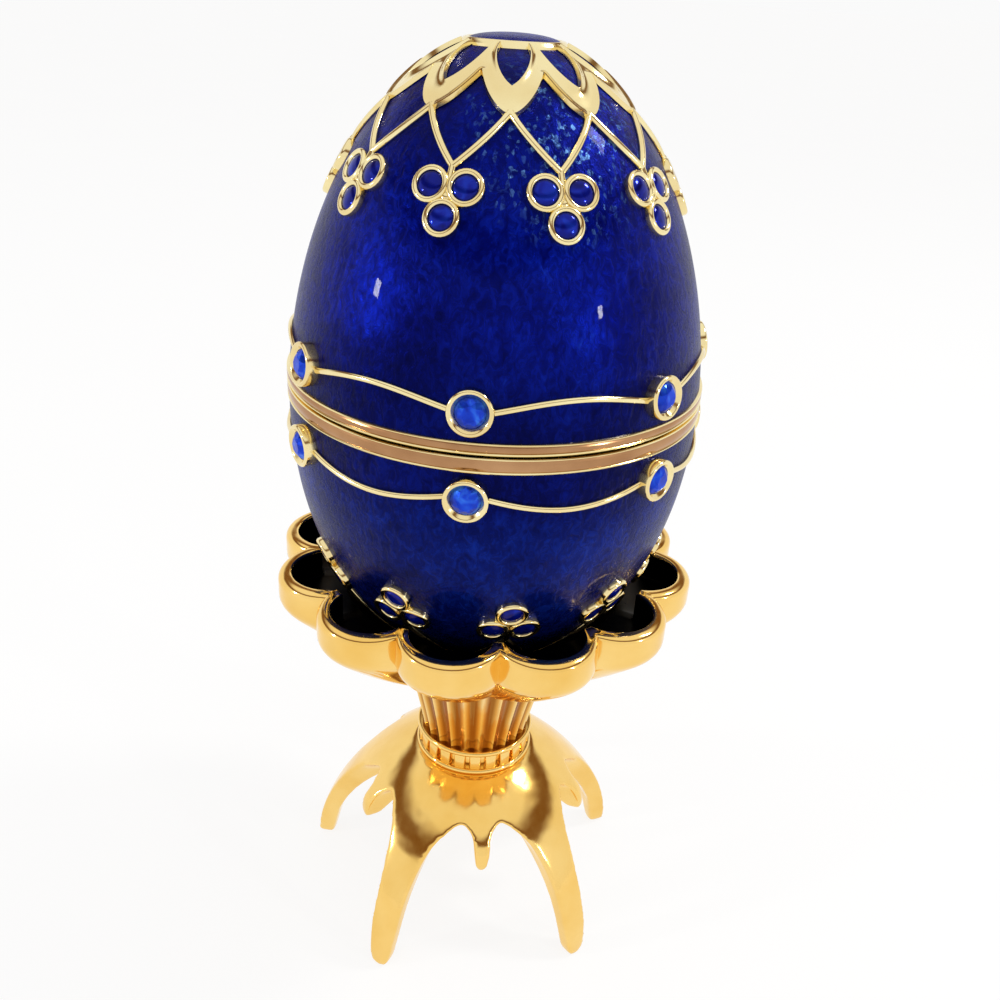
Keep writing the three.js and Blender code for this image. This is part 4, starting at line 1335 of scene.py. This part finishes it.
# %% [markdown]
# ## Star of petals and medallion
# The crown carries ten gold petals with almond windows, and a round blue medallion on top. A petal is
# a thin sheet that follows the egg, with raised lines along its edges and a hollow between them.
# Each half petal is a grid between the window's edge and the outer edge, so that both edges are exact,
# and a Solidify modifier gives the sheet its thickness.

# %% Petals
RIM_RING = (5.45, 6.25)
PETAL_START = 6.0
PETAL_VALLEY = 10.4
PETAL_BULGE = 0.62
WINDOW = (6.0, 12.0)
WINDOW_HALF = 1.8
WINDOW_WAIST = 0.35
WINDOW_NARROWING = 0.18
WINDOW_POINT = (2.2, 0.75)
EDGE_WIDTH = 0.42
EDGE_RISE = 0.30
PETAL_LIFT = 0.22
PETAL_THICKNESS = 0.5
PETAL_ROWS = 44
PETAL_COLUMNS = 10


def window_half(radius):
    share = (radius - WINDOW[0]) / (WINDOW[1] - WINDOW[0])
    if share >= 1:
        return 0.0
    if share < WINDOW_WAIST:
        return WINDOW_HALF * (1 - WINDOW_NARROWING * (1 - share / WINDOW_WAIST) ** 2)
    bend, close = WINDOW_POINT
    return WINDOW_HALF * (1 - ((share - WINDOW_WAIST) / (1 - WINDOW_WAIST)) ** bend) ** close


def petal_edge(radius):
    if radius <= PETAL_VALLEY:
        return PETAL_PITCH / 2
    share = (radius - PETAL_VALLEY) / (PETAL_TIP - PETAL_VALLEY)
    return PETAL_PITCH / 2 * max(1 - share, 0.0) ** PETAL_BULGE


def flat_place(angle, radius):
    turn = math.radians(angle)
    return Vector((radius * math.sin(turn), radius * math.cos(turn)))


def petal_radii():
    return [mix(PETAL_START, PETAL_TIP, share) for share in shares(PETAL_ROWS)]


def edge_points():
    points = []
    for radius in petal_radii():
        half = window_half(radius)
        if half > 0:
            points.append(flat_place(math.degrees(math.asin(half / radius)), radius))
        if radius > PETAL_VALLEY:
            points.append(flat_place(petal_edge(radius), radius))
    points.append(flat_place(0, WINDOW[1]))
    return points


def petals():
    edges = edge_points()
    corners, faces = [], []
    for petal in range(PETAL_COUNT):
        for side in (-1, 1):
            first = len(corners)
            for radius in petal_radii():
                inner = math.degrees(math.asin(window_half(radius) / radius))
                outer = max(petal_edge(radius), inner)
                for share in shares(PETAL_COLUMNS):
                    angle = mix(inner, outer, share)
                    here = flat_place(angle, radius)
                    near = min((here - point).length for point in edges)
                    lift = PETAL_LIFT + EDGE_RISE * math.exp(-((near / EDGE_WIDTH) ** 2))
                    turn = LATTICE_TURN + PETAL_PITCH * petal + side * angle
                    corners.append(on_egg(turn, crown_height(radius), lift))
            row = PETAL_COLUMNS + 1
            for i in range(PETAL_ROWS):
                for k in range(PETAL_COLUMNS):
                    a = first + i * row + k
                    faces.append((a, a + 1, a + row + 1, a + row))
    return skin("lid_star_petals", corners, faces, wire_gold)


star = petals()
wall = star.modifiers.new("thickness", "SOLIDIFY")
wall.thickness = PETAL_THICKNESS * MM
wall.offset = -1
finished(star)
settle(star, "egg_lid", "gilt_metal", "lid_lattice")

# %% Medallion
RIM_RISE = 0.55
RIM_EDGE = 0.45
RIM_ROOT = 0.4
CABOCHON = (5.5, 81.15, 81.35, 82.35)
CABOCHON_STEPS = 12
MEDALLION_SEGMENTS = 96


def ring_on_crown(inner, outer):
    root = crown_height(outer) - RIM_ROOT
    outline = [(outer, root)]
    for share in shares(ROUND_STEPS):
        radius = mix(outer, inner, share)
        rise = RIM_RISE * mix(RIM_EDGE, 1.0, math.sin(math.pi * share))
        outline.append((radius, crown_height(radius) + rise))
    outline.append((inner, root))
    return raised(outline)


rim_ring = turned("medallion_rim", ring_on_crown(*RIM_RING), wire_gold, MEDALLION_SEGMENTS)
settle(rim_ring, "egg_lid", "gilt_metal")
cushion = raised(low_dome(*CABOCHON, CABOCHON_STEPS))
cabochon = turned("medallion_cabochon", cushion, blue_enamel, MEDALLION_SEGMENTS)
settle(cabochon, "egg_lid", "blue_enamel", "top_cabochon")

# %% [markdown]
# ## Hinge and small CAD parts
# The two leaves of the hinge have their right shapes in the CAD model, but with hard edges and knuckles
# of a few flat sides. So a copy of each is softened in the same way as the foot, with a finer grain.
# The pin, the magnets and the screw with its washer keep their solids and only get a steel finish.

# %% Hinge leaves
HINGE_GRAIN = 0.09
HINGE_PASSES = 8


def soft_copy(node, body):
    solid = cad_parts[node]
    shape = bmesh.new()
    shape.from_mesh(solid.data)
    shape.transform(solid.matrix_world)
    bmesh.ops.remove_doubles(shape, verts=shape.verts, dist=WELD)
    leaf = link_mesh(f"{node}_soft", as_mesh(f"{node}_soft", shape), wire_gold)
    softened(leaf, HINGE_GRAIN, HINGE_PASSES)
    settle(leaf, body, "gilt_metal", node)


soft_copy("base_hinge_leaf", "egg_base")
soft_copy("lid_hinge_leaf", "egg_lid")

# %% Finishes for the CAD parts
STEEL_PARTS = ("hinge_pin", "base_magnet", "lid_magnet", "tie_screw", "screw_washer")
for node in STEEL_PARTS:
    for material_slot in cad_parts[node].material_slots:
        material_slot.material = bright_steel
print("steel parts:", ", ".join(STEEL_PARTS))

# %% [markdown]
# ## Studio
# The object stands on a pale floor in soft light. Polished metal shows its surroundings more than its
# own colour, so the surroundings matter: a white room with a dark brown band round its walls, well
# above the horizon, gives the gold both bright and dark things to reflect. Three soft boxes add the
# lights: one low on each side, and one above. To the eye and in mirrors the floor is mostly white by
# itself, which gives the white background without more light on the object, and the rest of it takes
# the shadow.

# %% Floor and light
FLOOR_SIZE = 40.0
FLOOR_LEVEL = -0.00002
FLOOR_WHITE = 0.85
ROOM_WHITE = (0.957, 0.957, 0.957)
ROOM_BROWN = (0.20, 0.10, 0.035)
ROOM_STOPS = [(0.40, ROOM_WHITE), (0.49, ROOM_BROWN), (0.60, ROOM_BROWN), (0.72, ROOM_WHITE)]
FLOOR_GRAIN_PER_MM = 0.01
FLOOR_TONES = ((0.92, 0.92, 0.92), (0.94, 0.94, 0.94))
LAMP_TARGET = Vector((0.0, 0.0, 0.07))
SOFT_BOXES = [
    ("left box", Vector((-0.56, -0.24, 0.22)), 0.04, 0.8),
    ("right box", Vector((0.54, -0.28, 0.23)), 0.03, 0.5),
    ("top box", Vector((0.42, 0.12, 0.55)), 0.10, 1.4),
]


def floor_finish():
    finish, shader = new_finish("pale floor", metallic=0.0)
    shader.inputs["Roughness"].default_value = 0.9
    shader.inputs["Specular IOR Level"].default_value = 0.0
    grain = noise(finish, FLOOR_GRAIN_PER_MM, detail=2.0)
    join(finish, ramp(finish, grain, zip(TONE_ENDS, FLOOR_TONES)), shader.inputs["Base Color"])
    ray = finish.node_tree.nodes.new("ShaderNodeLightPath").outputs
    mirrored = maths(finish, "MAXIMUM", ray["Is Glossy Ray"], ray["Is Transmission Ray"])
    seen = maths(finish, "MAXIMUM", ray["Is Camera Ray"], mirrored)
    white = finish.node_tree.nodes.new("ShaderNodeEmission")
    blend = finish.node_tree.nodes.new("ShaderNodeMixShader")
    join(finish, maths(finish, "MULTIPLY", seen, FLOOR_WHITE), blend.inputs["Fac"])
    join(finish, shader.outputs["BSDF"], blend.inputs[1])
    join(finish, white.outputs["Emission"], blend.inputs[2])
    join(finish, blend.outputs[0], finish.node_tree.nodes["Material Output"].inputs["Surface"])
    return finish


def make_floor():
    half = FLOOR_SIZE / 2
    flat = [(-half, -half), (half, -half), (half, half), (-half, half)]
    mesh = bpy.data.meshes.new("floor")
    mesh.from_pydata([(x, y, FLOOR_LEVEL) for x, y in flat], [], [(0, 1, 2, 3)])
    floor = link_mesh("floor", mesh, floor_finish())


def make_world():
    world = bpy.data.worlds.new("studio")
    scene.world = world
    world.use_nodes = True
    direction = world.node_tree.nodes.new("ShaderNodeTexCoord")
    parts = world.node_tree.nodes.new("ShaderNodeSeparateXYZ")
    join(world, direction.outputs["Generated"], parts.inputs[0])
    walls = ramp(world, parts.outputs["Z"], ROOM_STOPS)
    join(world, walls, world.node_tree.nodes["Background"].inputs["Color"])


def soft_box(name, spot, size, power):
    lamp = bpy.data.lights.new(name, "AREA")
    lamp.shape = "SQUARE"
    lamp.size = size
    lamp.energy = power
    box = bpy.data.objects.new(name, lamp)
    scene.collection.objects.link(box)
    box.rotation_euler = (LAMP_TARGET - spot).to_track_quat("-Z", "Y").to_euler()
    box.location = spot


make_floor()
make_world()
for row in SOFT_BOXES:
    soft_box(*row)
scene.view_settings.view_transform = "Standard"
print("studio: floor, world and", len(SOFT_BOXES), "soft boxes")
